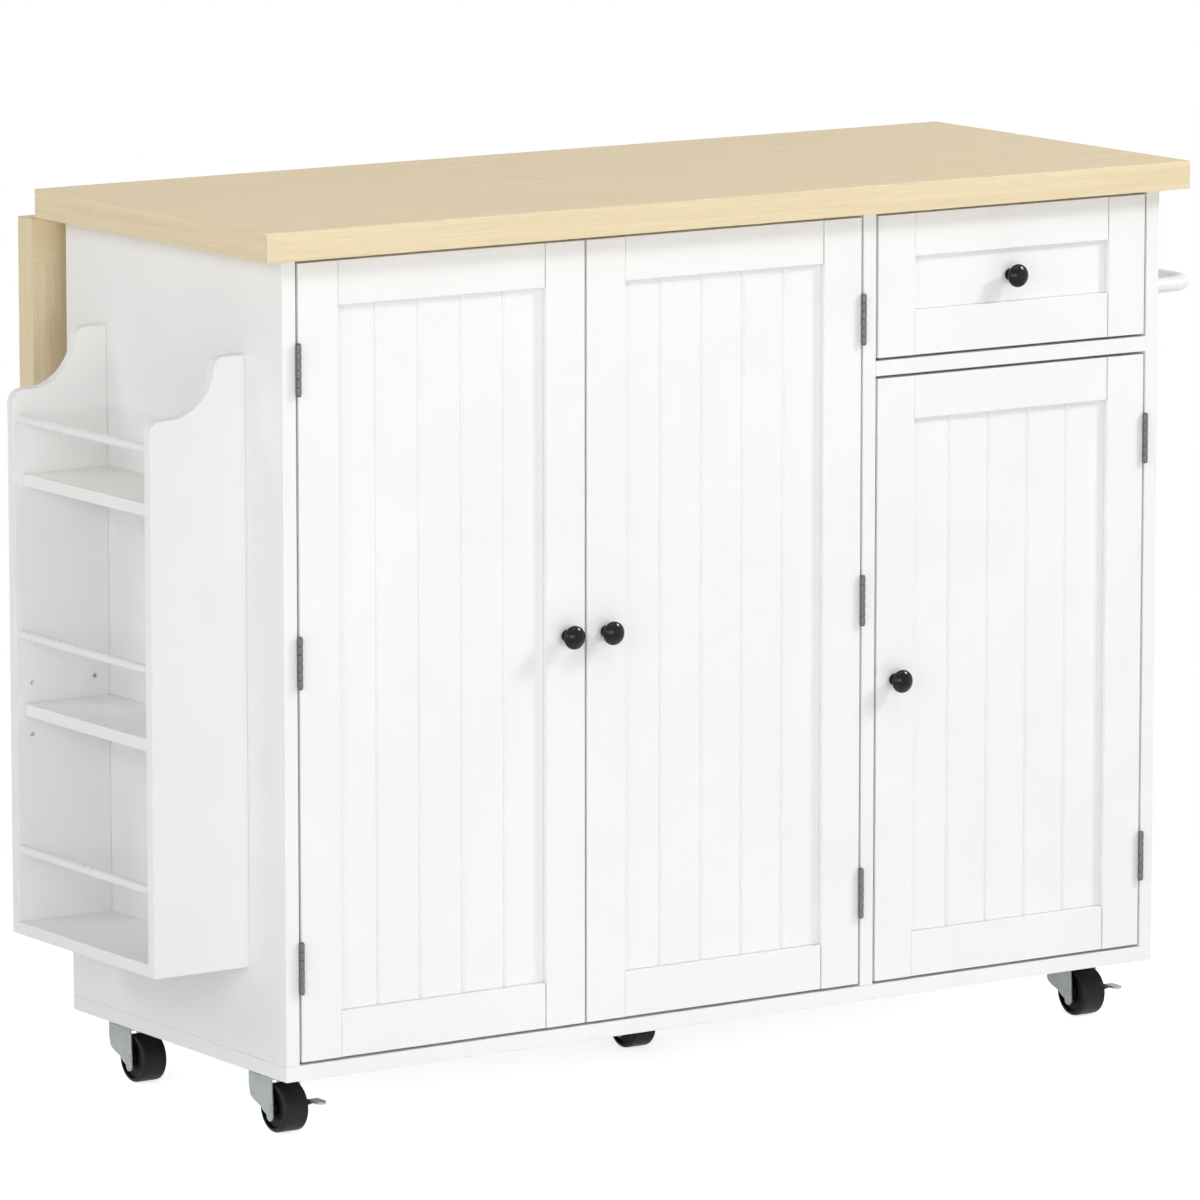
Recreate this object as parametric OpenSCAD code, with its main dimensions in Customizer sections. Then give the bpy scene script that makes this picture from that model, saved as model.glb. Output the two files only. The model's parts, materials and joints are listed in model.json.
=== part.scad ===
// Drop leaf kitchen island on casters: a white cabinet with three doors and a
// drawer under a wooden worktop, a spice rack on the left, a towel bar on the
// right and a hinged leaf with its folding prop at the back.
// Origin: middle of the whole island's footprint, on the floor.
// +X runs right along the front, +Y runs to the back, +Z up.

/* [Worktop and leaf] */
// Length of the worktop along the front
top_l = 1150; // [1080:5:1300]
// Thickness of the worktop's boards
top_panel_t = 15; // [12:1:25]
// Thickness of the strips glued on under the edges of worktop and leaf
border_t = 15; // [10:1:25]
// Width of those strips
border_w = 46; // [36:1:70]
// How far the worktop stands out over each side of the cabinet
top_over_side = 27.5; // [15:0.5:34]
// How far it stands out over the doors
top_over_front = 18; // [5:1:30]
// How far it stands out over the cabinet's back
top_over_back = 16; // [14:1:28]
// Length of the hanging leaf, from its hinge edge down
leaf_l = 300; // [290:5:600]

/* [Cabinet] */
// Depth of the cabinet
cab_d = 426; // [390:2:520]
// Height of the cabinet from the base board's underside to the worktop
cab_h = 836.5; // [760:0.5:900]
// Thickness of the boards
board_t = 16; // [15:0.5:22]
// Clear width of the left bay, behind the two doors
left_bay_w = 694; // [560:2:760]
// Thickness of the back panel
back_t = 9; // [6:0.5:12]
// Depth of the rails under the worktop
rail_w = 60; // [40:1:90]
// Depth of the rail under the drawer
drawer_rail_w = 70; // [40:1:100]
// Height of the left shelf's top above the base board
left_shelf_z = 410; // [300:5:480]
// Height of the right shelf's top above the base board
right_shelf_z = 320; // [250:5:400]
// Distance of the shelves behind the doors' front faces
shelf_in = 40; // [30:1:80]

/* [Doors and drawer] */
// Gap around each door and the drawer front
door_gap = 3; // [2.4:0.1:3.4]
// Gap between their tops and the worktop
door_top_gap = 4.8; // [3:0.1:6]
// Width of the stiles and lower rails
stile_w = 47; // [40:0.5:60]
// Width of the upper rails
top_rail_w = 45.2; // [40:0.2:60]
// How far the rails lie behind the stiles' faces
rail_in = 1.2; // [0.6:0.1:2]
// Thickness of the panels in the frames
panel_t = 6; // [4:0.5:6]
// How far the panels lie behind the frames' front faces
panel_in = 6; // [3:0.5:6]
// How deep the panels sit in the frames' grooves
panel_edge = 8; // [5:0.5:10]
// Distance between the V grooves in a door panel
bead_pitch = 51; // [45:0.5:55]
// Depth of a V groove
bead_depth = 1.6; // [0.8:0.1:2]
// Half the width of a V groove
bead_half_w = 2.6; // [1.5:0.1:4]
// Height of the drawer front
drawer_h = 149.2; // [140:0.2:190]
// Thickness of the drawer box's sides
box_t = 12; // [9:0.5:12]
// Height of the drawer box
box_h = 100; // [70:1:110]
// Length of the drawer box behind the front
box_l = 350; // [300:5:350]
// Space for one drawer runner
runner_gap = 12.5; // [12.5:0.1:13.5]

/* [Knobs] */
// Diameter of a knob
knob_d = 24.7; // [22:0.1:30]
// How far a knob stands out from its seat
knob_out = 22; // [20:0.5:25]
// Distance of a knob's axis from the door's free edge
knob_in = 22.5; // [18:0.5:30]

/* [Door hinges] */
// Height of a butt hinge
hinge_h = 52; // [40:1:65]
// Distance of the hinge pins in front of the doors
pin_out = 3; // [3:0.1:4]
// Diameter of the hinge knuckles
knuckle_d = 5.4; // [5:0.1:5.4]
// Diameter of the hinge pins
hinge_pin_d = 2.6; // [2:0.1:3]
// Drop of the upper hinge's middle below the worktop
hinge_drop_top = 111.3; // [80:0.1:140]
// Drop of the middle hinge's middle below the worktop
hinge_drop_mid = 407.7; // [300:0.1:500]
// Height of the lower hinge's middle above the base board
hinge_rise_low = 100.6; // [70:0.1:140]
// Drop of the right door's upper hinge below its top edge
hinge_drop_right = 90; // [70:1:120]

/* [Spice rack] */
// How far the rack stands out from the cabinet
rack_d = 111.5; // [100:0.5:130]
// Height of the rack's side boards
rack_h = 626.5; // [600:0.5:680]
// Drop of the rack's top below the worktop
rack_drop = 102.5; // [80:0.5:130]
// Thickness of the rack's boards
rack_t = 13; // [12:0.5:15]
// Clear width between the rack's side boards
rack_w = 260; // [220:1:300]
// Distance of the rack behind the cabinet's front
rack_y = 70.5; // [50:0.5:100]
// Diameter of the rack's rods
rod_d = 9.3; // [8:0.1:11]

/* [Towel bar] */
// Diameter of the towel bar
towel_d = 16; // [12:0.5:20]
// Distance of its long run from the cabinet's side
towel_out = 70; // [55:1:80]
// Distance of its ends from the cabinet's front and back
towel_in = 26; // [20:1:60]
// Radius of its bends
towel_bend = 38; // [20:1:45]
// Drop of the bar below the worktop
towel_drop = 108; // [90:1:200]

/* [Casters] */
// Diameter of the wheels
wheel_d = 51; // [44:0.5:56]
// Room between a wheel and the top of its fork
wheel_room = 4.5; // [4:0.5:10]
// Width of the wheels
wheel_w = 28.5; // [24:0.5:28.5]
// Distance from a caster's swivel axis to its axle
caster_trail = 18; // [14:0.5:20]
// Distance of the left corner casters' swivel axes from the cabinet's side
caster_in_left = 39; // [36:0.5:60]
// Distance of the right corner casters' swivel axes from the cabinet's side
caster_in_right = 42.5; // [36:0.5:60]
// Distance of the front swivel axes behind the cabinet's front
caster_front_y = 86; // [70:1:100]
// Distance of the back swivel axes from the cabinet's back
caster_back_y = 59; // [50:1:80]
// Place of the middle caster from the cabinet's left side
caster_mid_x = 558; // [500:1:600]
// Distance of the middle caster behind the cabinet's front
caster_mid_y = 222; // [200:1:240]

/* [Leaf hinges and prop] */
// Length of a leaf hinge
leaf_hinge_l = 60; // [45:1:80]
// Diameter of its knuckles
leaf_knuckle_d = 4.8; // [4.2:0.1:4.8]
// Diameter of its pin
leaf_pin_d = 2.4; // [2:0.1:2.6]
// Distance of a leaf hinge from the ends of the worktop
leaf_hinge_in = 150; // [100:5:250]
// Gap between worktop and raised leaf
leaf_gap = 1.6; // [1:0.1:2]
// Drop of the prop's pivot below the leaf's hinge pin
prop_drop = 105; // [90:1:120]
// Distance along the leaf at which the prop holds it up
prop_reach = 120; // [100:1:135]
// Thickness of the prop's legs
prop_t = 14; // [10:0.5:14]
// Width of the legs
prop_w = 28; // [20:1:40]
// Distance of the legs from the middle of the leaf
prop_spread = 245; // [150:5:300]

/* [Hidden] */

$fn = 48;
// Clearances: around a turning pin, and between parts that lie close
run = 0.06;
seat = 0.3;

// Casters, from the floor up
axle_z = wheel_d / 2;
axle_r = 2.5;
wheel_shoulder = 3;
wheel_recess = 2.5;
wheel_recess_r = axle_z - 4.5;
hub_r = 8;
plate_size = 60;
plate_t = 2.5;
plate_hole_at = 23;
plate_hole_d = 5;
race_r = 21;
race_h = 6.5;
fork_top_t = 2.2;
fork_top_z = wheel_d + wheel_room + fork_top_t;
caster_h = fork_top_z + seat + race_h + plate_t;
fork_in = 15.5;
fork_t = 2;
fork_out = fork_in + fork_t;
fork_top_l = 46;
fork_top_r = 27;
fork_tip_r = 5.8;
fork_tip_y = 0.9;
fork_tip_drop = 8;
kingpin_r = 4;
kingpin_head_r = 7;
kingpin_head_t = 2.2;
pedal_t = 1.5;
pedal_x = fork_out + seat;
pedal_tab_t = 2.6;
pedal_tab_z = 5.8;
pedal_tab_r = 6;
rivet_r = 3.8;
rivet_t = 0.9;

// Heights
base_z = caster_h;
floor_z = base_z + board_t;
top_z = base_z + cab_h;
top_t = top_panel_t + border_t;

// Widths: x runs from the cabinet's left side, y from its front
cab_w = top_l - 2 * top_over_side;
top_w = top_over_front + cab_d + top_over_back;
left_x0 = board_t;
left_x1 = left_x0 + left_bay_w;
right_x0 = left_x1 + board_t;
right_x1 = cab_w - board_t;
back_y = cab_d - back_t;
rail_z = top_z - board_t;

// Doors
door_z0 = floor_z + door_gap;
door_z1 = top_z - door_top_gap;
door_w = (left_bay_w - 3 * door_gap) / 2;
door_right_w = right_x1 - right_x0 - 2 * door_gap;
middle_x0 = left_x0 + 2 * door_gap + door_w;
drawer_z0 = door_z1 - drawer_h;
drawer_rail_z = drawer_z0 - door_gap - board_t;
door_right_z1 = drawer_rail_z - door_gap;
door_left_at = [left_x0 + door_gap, 0, door_z0];
door_middle_at = [middle_x0, 0, door_z0];
door_right_at = [right_x0 + door_gap, 0, door_z0];
drawer_at = [right_x0 + door_gap, 0, drawer_z0];
door_size = [door_w, door_z1 - door_z0];
door_right_size = [door_right_w, door_right_z1 - door_z0];
drawer_size = [door_right_w, drawer_h];

// Knobs: foot and neck
knob_foot_t = 3;
knob_foot_d = 13;
knob_neck_d = 9.5;

// Butt hinges: three on each left door, two on the right one
hinge_segments = 6;
hinge_pitch = hinge_h / hinge_segments;
hinge_leaf_d = 25;
hinge_leaf_t = door_gap / 2 - seat / 2;
pin_left_x = left_x0 + door_gap / 2;
pin_middle_x = left_x1 - door_gap / 2;
pin_right_x = right_x1 - door_gap / 2;
hinge_zs = [top_z - hinge_drop_top, top_z - hinge_drop_mid, floor_z + hinge_rise_low];
hinge_right_zs = [door_right_z1 - hinge_drop_right, floor_z + hinge_rise_low];

// Catches
catch_size = [36, 14, 11];
strike_size = [30, 1, 9];
catch_side = 24;
catch_mid_x = left_x0 + left_bay_w / 2;
catch_right_x = right_x0 + 34;

// Shelves and their pins
shelf_pin_d = 5;
shelf_hole_deep = 7.5;
shelf_pin_out = 8;
shelf_hole_pitch = 50;
shelf_side_gap = 1;
shelf_pin_front = 30;
shelf_pin_back = 45;
shelf_pin_ys = [shelf_in + shelf_pin_front, back_y - shelf_pin_back];
left_pin_z = floor_z + left_shelf_z - board_t - shelf_pin_d / 2;
right_pin_z = floor_z + right_shelf_z - board_t - shelf_pin_d / 2;

// Drawer box and runners
box_x0 = right_x0 + runner_gap;
box_x1 = right_x1 - runner_gap;
box_z0 = drawer_z0 + 16;
box_bottom_t = 5;
box_bottom_up = 9;
box_groove = 6;
runner_z = box_z0 + box_h / 2;
runner_sheet = 1.2;
runner_h = 40;
runner_member_h = runner_h - 2 * (runner_sheet + seat);
runner_lip = 9;
runner_y0 = 20;

// Spice rack outline: u runs out from the cabinet, v up from the rack's foot
rack_z = top_z - rack_drop - rack_h;
rack_y1 = rack_y + rack_t;
rack_y2 = rack_y1 + rack_w;
crown_r = 12;
crown_u = 24.5;
crown_v = rack_h - crown_r;
scoop_r = 54;
scoop_v = crown_v + 6.5;
scoop_u = crown_u + sqrt(pow(crown_r + scoop_r, 2) - pow(scoop_v - crown_v, 2));
scoop_top_v = crown_v + (scoop_v - crown_v) * crown_r / (crown_r + scoop_r);
nose_r = 14;
nose_u = rack_d - nose_r;
nose_v = scoop_v - scoop_r - nose_r;
rack_shelf_upper_in = 11;
rack_shelf_middle_in = 9.5;
rack_shelf_gap = 0.5;
// A rod lies this far above each shelf, the top one this far under the nose's middle
rod_over_bottom = 88.2;
rod_over_middle = 85.7;
rod_over_upper = 70.8;
rod_under_nose = 15.2;
rack_shelf_upper_v = nose_v - rod_under_nose - rod_over_upper;
rack_shelf_middle_v = 0.488 * rack_shelf_upper_v;
rod_u = rack_d - 5.8;
rod_vs = [rod_over_bottom, rack_shelf_middle_v + rod_over_middle, nose_v - rod_under_nose];
rod_deep = 5;
rack_pin_us = [18.2, rack_d - 18.5];
rack_pin_v = rack_shelf_middle_v + 7;
rack_pin_pitch = 27;

// Towel bar
towel_z = top_z - towel_drop;
towel_y0 = towel_in;
towel_y1 = cab_d - towel_in;

// Casters
caster_places = [
  [caster_in_left, caster_front_y],
  [cab_w - caster_in_right, caster_front_y],
  [caster_in_left, cab_d - caster_back_y],
  [cab_w - caster_in_right, cab_d - caster_back_y],
  [caster_mid_x, caster_mid_y]];

// Leaf: its hinge pins lie just behind and below the worktop's back edge
leaf_face = 2.7;
leaf_pin_y = cab_d + top_over_back + 2.5;
leaf_pin_z = top_z - leaf_face;
leaf_in_y = leaf_pin_y + leaf_face;
leaf_top_z = leaf_pin_z + 2.5 - leaf_gap;
leaf_out_y = leaf_in_y + top_t;
leaf_hinge_t = 1.5;
leaf_hinge_segments = 5;
leaf_hinge_pitch = leaf_hinge_l / leaf_hinge_segments;
leaf_top_plate_w = 16;
leaf_plate_w = 36;
leaf_hinge_xs = [leaf_hinge_in - top_over_side, cab_w / 2,
  cab_w + top_over_side - leaf_hinge_in];

// Prop: hangs from the cabinet's back, swings up under the leaf
prop_y = cab_d + 2.5 + prop_t / 2;
prop_z = leaf_pin_z - prop_drop;
saddle_t = 6;
saddle_groove_r = 14;
saddle_groove = 1.5;
saddle_size = [40, 36];
prop_rise = prop_drop + leaf_face + border_t - saddle_t + saddle_groove - seat - prop_t / 2;
prop_run = prop_reach + leaf_pin_y - prop_y;
prop_l = sqrt(prop_rise * prop_rise + prop_run * prop_run);
prop_rail_at = 1.05 * prop_drop;
prop_pin_r = 3;
prop_xs = [cab_w / 2 - prop_spread, cab_w / 2 + prop_spread];
bracket_t = 2;
bracket_gap = 0.4;
bracket_half_w = prop_w / 2 + 20;
bracket_half_h = prop_t + 8;
ear_half_h = prop_t - 2;
ear_past_pin = 5;

// Footprint of everything, which places the origin
reach_left = -max(rack_d, top_over_side);
reach_right = cab_w + max(towel_out + towel_d / 2, top_over_side);
reach_front = -max(knob_out, top_over_front);
mid_x = (reach_left + reach_right) / 2;
mid_y = (reach_front + leaf_out_y) / 2;

white = "#f2f1ec";
oak = "#d9b98c";
steel = "#b9bcc0";
pewter = "#8f8b84";
black = "#1c1c1e";

module placed() {
  translate([-mid_x, -mid_y, 0]) children();
}

// A board between two opposite corners
module board(low, high) {
  translate(low) cube(high - low);
}

// A round bar along x
module bar_x(r, l) {
  rotate([0, 90, 0]) cylinder(h = l, r = r);
}

// A round bar along y
module bar_y(r, l) {
  rotate([-90, 0, 0]) cylinder(h = l, r = r);
}

// ---- Worktop ----

module worktop_panel() {
  color(oak)
    board([-top_over_side, -top_over_front, top_z + border_t],
      [cab_w + top_over_side, cab_d + top_over_back, top_z + top_t]);
}

module worktop_border() {
  x0 = -top_over_side;
  x1 = cab_w + top_over_side;
  y0 = -top_over_front;
  y1 = cab_d + top_over_back;
  z1 = top_z + border_t;
  cross_x = left_x1 + board_t / 2 - border_w / 2;
  color(oak) {
    board([x0, y0, top_z], [x1, y0 + border_w, z1]);
    board([x0, y1 - border_w, top_z], [x1, y1, z1]);
    board([x0, y0 + border_w, top_z], [x0 + border_w, y1 - border_w, z1]);
    board([x1 - border_w, y0 + border_w, top_z], [x1, y1 - border_w, z1]);
    board([cross_x, y0 + border_w, top_z], [cross_x + border_w, y1 - border_w, z1]);
  }
}

// ---- Cabinet ----

// Two columns of blind holes for shelf pins in a board's face at x
module pin_holes(x, side, pin_z) {
  for (y = shelf_pin_ys, k = [-2:2])
    translate([x, y, pin_z + k * shelf_hole_pitch])
      rotate([0, side * 90, 0])
        translate([0, 0, -1])
          cylinder(h = shelf_hole_deep + 1, d = shelf_pin_d + 2 * run);
}

module side_panel_left() {
  color(white) difference() {
    board([0, 0, floor_z], [board_t, cab_d, top_z]);
    pin_holes(left_x0, -1, left_pin_z);
  }
}

module side_panel_right() {
  color(white) difference() {
    board([right_x1, 0, floor_z], [cab_w, cab_d, top_z]);
    pin_holes(right_x1, 1, right_pin_z);
  }
}

module divider_panel() {
  color(white) difference() {
    board([left_x1, 0, floor_z], [right_x0, back_y, top_z]);
    pin_holes(left_x1, 1, left_pin_z);
    pin_holes(right_x0, -1, right_pin_z);
  }
}

module base_panel() {
  color(white) board([0, 0, base_z], [cab_w, cab_d, floor_z]);
}

module back_panel() {
  color(white) board([board_t, back_y, floor_z], [right_x1, cab_d, top_z]);
}

module drawer_rail() {
  color(white)
    board([right_x0, 0, drawer_rail_z],
      [right_x1, drawer_rail_w, drawer_rail_z + board_t]);
}

module top_rails() {
  front_y = board_t + door_gap;
  color(white)
    for (bay = [[left_x0, left_x1], [right_x0, right_x1]]) {
      board([bay[0], front_y, rail_z], [bay[1], front_y + rail_w, top_z]);
      board([bay[0], back_y - rail_w, rail_z], [bay[1], back_y, top_z]);
    }
}

module cabinet_shelves() {
  color(white) {
    board([left_x0 + shelf_side_gap, shelf_in, floor_z + left_shelf_z - board_t],
      [left_x1 - shelf_side_gap, back_y - 2, floor_z + left_shelf_z]);
    board([right_x0 + shelf_side_gap, shelf_in, floor_z + right_shelf_z - board_t],
      [right_x1 - shelf_side_gap, back_y - 2, floor_z + right_shelf_z]);
  }
}

// A pin that stands out of a face at x, towards side
module shelf_pin(x, side, y, z) {
  translate([x - side * shelf_hole_deep, y, z]) rotate([0, side * 90, 0]) {
    cylinder(h = shelf_hole_deep + shelf_pin_out, d = shelf_pin_d);
  }
}

module shelf_pins() {
  color(steel) {
    for (y = shelf_pin_ys) {
      shelf_pin(left_x0, 1, y, left_pin_z);
      shelf_pin(left_x1, -1, y, left_pin_z);
      shelf_pin(right_x0, 1, y, right_pin_z);
      shelf_pin(right_x1, -1, y, right_pin_z);
    }
    for (u = rack_pin_us) {
      translate([-u, rack_y1 - rod_deep, rack_z + rack_pin_v])
        bar_y(shelf_pin_d / 2, rod_deep + shelf_pin_out);
      translate([-u, rack_y2 - shelf_pin_out, rack_z + rack_pin_v])
        bar_y(shelf_pin_d / 2, rod_deep + shelf_pin_out);
    }
  }
}

// ---- Spice rack ----

module rack_outline() {
  square([rack_d, nose_v]);
  square([nose_u, nose_v + nose_r]);
  translate([nose_u, nose_v]) circle(nose_r, $fn = 64);
  square([crown_u, rack_h]);
  translate([crown_u, crown_v]) circle(crown_r, $fn = 64);
  difference() {
    square([scoop_u, scoop_top_v]);
    translate([scoop_u, scoop_v]) circle(scoop_r, $fn = 120);
  }
}

// A side board with its inner face at y; inward is +1 towards the back
module rack_side(y, inward) {
  difference() {
    translate([0, inward > 0 ? y : y + rack_t, rack_z])
      rotate([90, 0, 0]) mirror([1, 0, 0])
        linear_extrude(rack_t) rack_outline();
    translate([0, y - inward * rod_deep, rack_z]) {
      for (v = rod_vs)
        translate([-rod_u, 0, v]) rotate([-90 * inward, 0, 0])
          cylinder(h = rod_deep + 1, d = rod_d + 2 * run);
      for (u = rack_pin_us, k = [-1:1])
        translate([-u, 0, rack_pin_v + k * rack_pin_pitch])
          rotate([-90 * inward, 0, 0])
            cylinder(h = rod_deep + 1, d = shelf_pin_d + 2 * run);
    }
  }
}

module rack_side_front() {
  color(white) rack_side(rack_y1, 1);
}

module rack_side_back() {
  color(white) rack_side(rack_y2, -1);
}

module rack_shelf_upper() {
  color(white)
    board([-rack_d + rack_shelf_upper_in, rack_y1, rack_z + rack_shelf_upper_v],
      [0, rack_y2, rack_z + rack_shelf_upper_v + rack_t]);
}

// The middle shelf drops over its pins, which lie in slots in its ends
module rack_shelf_middle() {
  slot_r = shelf_pin_d / 2 + run;
  slot_l = shelf_pin_out + 1;
  color(white) difference() {
    board([-rack_d + rack_shelf_middle_in, rack_y1 + rack_shelf_gap,
        rack_z + rack_shelf_middle_v],
      [-1, rack_y2 - rack_shelf_gap, rack_z + rack_shelf_middle_v + rack_t]);
    for (u = rack_pin_us, y = [rack_y1, rack_y2 - slot_l])
      translate([-u, y, rack_z + rack_pin_v]) {
        bar_y(slot_r, slot_l);
        translate([-slot_r, 0, -rack_t]) cube([2 * slot_r, slot_l, rack_t]);
      }
  }
}

module rack_shelf_bottom() {
  color(white)
    board([-rack_d, rack_y1, rack_z], [0, rack_y2, rack_z + rack_t]);
}

module rack_rods() {
  color(white)
    for (v = rod_vs)
      translate([-rod_u, rack_y1 - rod_deep, rack_z + v])
        bar_y(rod_d / 2, rack_w + 2 * rod_deep);
}

// ---- Towel bar ----

module towel_bend_at(y, turn) {
  translate([towel_out - towel_bend, y, 0]) rotate([0, 0, turn])
    rotate_extrude(angle = 90, $fn = 96)
      translate([towel_bend, 0]) circle(d = towel_d, $fn = 48);
}

module towel_bar() {
  arm = towel_out - towel_bend;
  color(white) translate([cab_w, 0, towel_z]) {
    translate([0, towel_y0, 0]) bar_x(towel_d / 2, arm);
    translate([0, towel_y1, 0]) bar_x(towel_d / 2, arm);
    towel_bend_at(towel_y0 + towel_bend, -90);
    towel_bend_at(towel_y1 - towel_bend, 0);
    translate([towel_out, towel_y0 + towel_bend, 0])
      bar_y(towel_d / 2, towel_y1 - towel_y0 - 2 * towel_bend);
  }
}

// ---- Doors and drawer front: x and z run over the front, y into it ----

// Cutter for an upright V groove in the plane y = 0, as wide as twice half_w
module v_groove(half_w, depth, l) {
  linear_extrude(l)
    polygon([[-half_w, -1], [-half_w, 0], [0, depth], [half_w, 0], [half_w, -1]]);
}

// A frame of two stiles and two rails, grooved for its panel
module front_frame(size) {
  w = size[0];
  h = size[1];
  e = stile_w - panel_edge - seat;
  color(white) difference() {
    cube([w, board_t, h]);
    translate([stile_w, -1, stile_w])
      cube([w - 2 * stile_w, board_t + 2, h - stile_w - top_rail_w]);
    translate([stile_w, -1, -1]) cube([w - 2 * stile_w, rail_in + 1, h + 2]);
    translate([e, panel_in - seat / 2, e])
      cube([w - 2 * e, panel_t + seat, h - e - top_rail_w + panel_edge + seat]);
  }
}

module flat_panel(size) {
  e = stile_w - panel_edge;
  color(white)
    translate([e, panel_in, e])
      cube([size[0] - 2 * e, panel_t, size[1] - e - top_rail_w + panel_edge]);
}

// A panel with V grooves, so that it reads as five upright boards
module beaded_panel(size) {
  color(white) difference() {
    flat_panel(size);
    for (k = [-1.5:1:1.5])
      translate([size[0] / 2 + k * bead_pitch, panel_in, 0])
        v_groove(bead_half_w, bead_depth, size[1]);
  }
}

// Height of a front's panel's middle
function front_middle(size) = (stile_w + size[1] - top_rail_w) / 2;

// Mushroom knob on its screw axis, standing out towards -y from its seat
module knob() {
  r = knob_d / 2;
  rim_r = 0.34 * r;
  rim_u = r - rim_r;
  half = 0.307 * knob_out;
  dome_r = (rim_u * rim_u + half * half - rim_r * rim_r) / (2 * (half - rim_r));
  dome_h = dome_r - half;
  cut_u = rim_u * dome_r / (dome_r - rim_r);
  color(black) rotate([90, 0, 0]) {
    cylinder(h = knob_foot_t, d = knob_foot_d);
    cylinder(h = knob_out - half, d = knob_neck_d);
    translate([0, 0, knob_out - half]) rotate_extrude($fn = 96) {
      intersection() {
        translate([0, -dome_h]) circle(dome_r, $fn = 120);
        translate([0, dome_h]) circle(dome_r, $fn = 120);
        translate([0, -half]) square([cut_u, 2 * half]);
      }
      intersection() {
        translate([rim_u, 0]) circle(rim_r, $fn = 64);
        translate([0, -half]) square([r + 1, 2 * half]);
      }
    }
  }
}

// ---- Door hinges: x runs from the pin towards the door, z from the middle ----

// One leaf; first is 0 for the cabinet's and 1 for the door's
module butt_leaf(first) {
  face = first == 0 ? -door_gap / 2 : seat / 2;
  clear = knuckle_d / 2 + seat;
  color(pewter) difference() {
    union() {
      translate([face, clear, -hinge_h / 2])
        cube([hinge_leaf_t, hinge_leaf_d, hinge_h]);
      for (i = [first:2:hinge_segments - 1])
        translate([0, 0, -hinge_h / 2 + i * hinge_pitch + seat / 2]) {
          cylinder(h = hinge_pitch - seat, d = knuckle_d);
          translate([face, 0, 0]) cube([hinge_leaf_t, clear, hinge_pitch - seat]);
        }
    }
    translate([0, 0, -hinge_h / 2 - 1])
      cylinder(h = hinge_h + 2, r = hinge_pin_d / 2 + run);
  }
}

module hinge_pin() {
  color(pewter) {
    translate([0, 0, -hinge_h / 2]) cylinder(h = hinge_h, d = hinge_pin_d);
    translate([0, 0, hinge_h / 2]) cylinder(h = 1, d = knuckle_d - 1);
    translate([0, 0, -hinge_h / 2 - 1]) cylinder(h = 1, d = knuckle_d - 1);
  }
}

// Puts a hinge on a pin at x, for a door that lies on the side of dir
module on_pin(x, z, dir) {
  translate([x, -pin_out, z])
    mirror([dir < 0 ? 1 : 0, 0, 0]) children();
}

module each_door_hinge() {
  for (z = hinge_zs) {
    on_pin(pin_left_x, z, 1) children();
    on_pin(pin_middle_x, z, -1) children();
  }
  for (z = hinge_right_zs)
    on_pin(pin_right_x, z, -1) children();
}

module strike(x, z) {
  color(steel)
    translate([x - strike_size[0] / 2, board_t, z]) cube(strike_size);
}

module magnetic_catches() {
  y = board_t + strike_size[1] + seat;
  z = rail_z - catch_size[2];
  color(white)
    for (at = [[catch_mid_x - catch_side, z], [catch_mid_x + catch_side, z],
          [catch_right_x, drawer_rail_z - catch_size[2]]])
      translate([at[0] - catch_size[0] / 2, y, at[1]]) cube(catch_size);
}

// ---- Drawer ----

// One leg of a runner's channel: a web with two lips, open towards side
module runner_channel(x, side, h, lip, y0, l) {
  color(steel) translate([x, y0, runner_z]) mirror([side < 0 ? 1 : 0, 0, 0]) {
    translate([0, 0, -h / 2]) cube([runner_sheet, l, h]);
    for (z = [-h / 2, h / 2 - runner_sheet])
      translate([0, 0, z]) cube([lip, l, runner_sheet]);
  }
}

module drawer_runners_cabinet() {
  runner_channel(right_x0, 1, runner_h, runner_lip, runner_y0, box_l - 10);
  runner_channel(right_x1, -1, runner_h, runner_lip, runner_y0, box_l - 10);
}

module drawer_runner_members() {
  runner_channel(box_x0, -1, runner_member_h, runner_lip, runner_y0, box_l - 14);
  runner_channel(box_x1, 1, runner_member_h, runner_lip, runner_y0, box_l - 14);
}

module drawer_box() {
  y1 = board_t + box_l;
  z1 = box_z0 + box_h;
  color(oak) difference() {
    board([box_x0, board_t, box_z0], [box_x1, y1, z1]);
    board([box_x0 + box_t, board_t + box_t, box_z0 - 1],
      [box_x1 - box_t, y1 - box_t, z1 + 1]);
    board([box_x0 + box_t - box_groove, board_t + box_t - box_groove,
        box_z0 + box_bottom_up],
      [box_x1 - box_t + box_groove, y1 - box_t + box_groove,
        box_z0 + box_bottom_up + box_bottom_t]);
  }
}

module drawer_bottom() {
  e = box_t - box_groove + seat;
  color(white)
    board([box_x0 + e, board_t + e, box_z0 + box_bottom_up],
      [box_x1 - e, board_t + box_l - e, box_z0 + box_bottom_up + box_bottom_t]);
}

// ---- Casters: origin on the floor under the swivel axis ----

module caster_plate() {
  color(steel) {
    difference() {
      translate([-plate_size / 2, -plate_size / 2, caster_h - plate_t])
        cube([plate_size, plate_size, plate_t]);
      for (x = [-plate_hole_at, plate_hole_at], y = [-plate_hole_at, plate_hole_at])
        translate([x, y, caster_h - plate_t - 1]) cylinder(h = plate_t + 2, d = plate_hole_d);
    }
    translate([0, 0, fork_top_z + seat]) cylinder(h = race_h, r = race_r);
    translate([0, 0, fork_top_z - fork_top_t - seat])
      cylinder(h = fork_top_t + 2 * seat, r = kingpin_r);
    translate([0, 0, fork_top_z - fork_top_t - seat - kingpin_head_t])
      cylinder(h = kingpin_head_t, r = kingpin_head_r);
  }
}

// Side of a fork, as shares of the trail and of the fork's height; 0 is the axle
fork_outline = [[-0.27, 0.31], [-0.24, 0.6], [-0.13, 1], [2.28, 1], [2.27, 0.74],
  [2.12, 0.566], [1.68, 0.494], [1.03, 0.432], [0.72, 0.36], [0.38, 0.31]];

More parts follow.
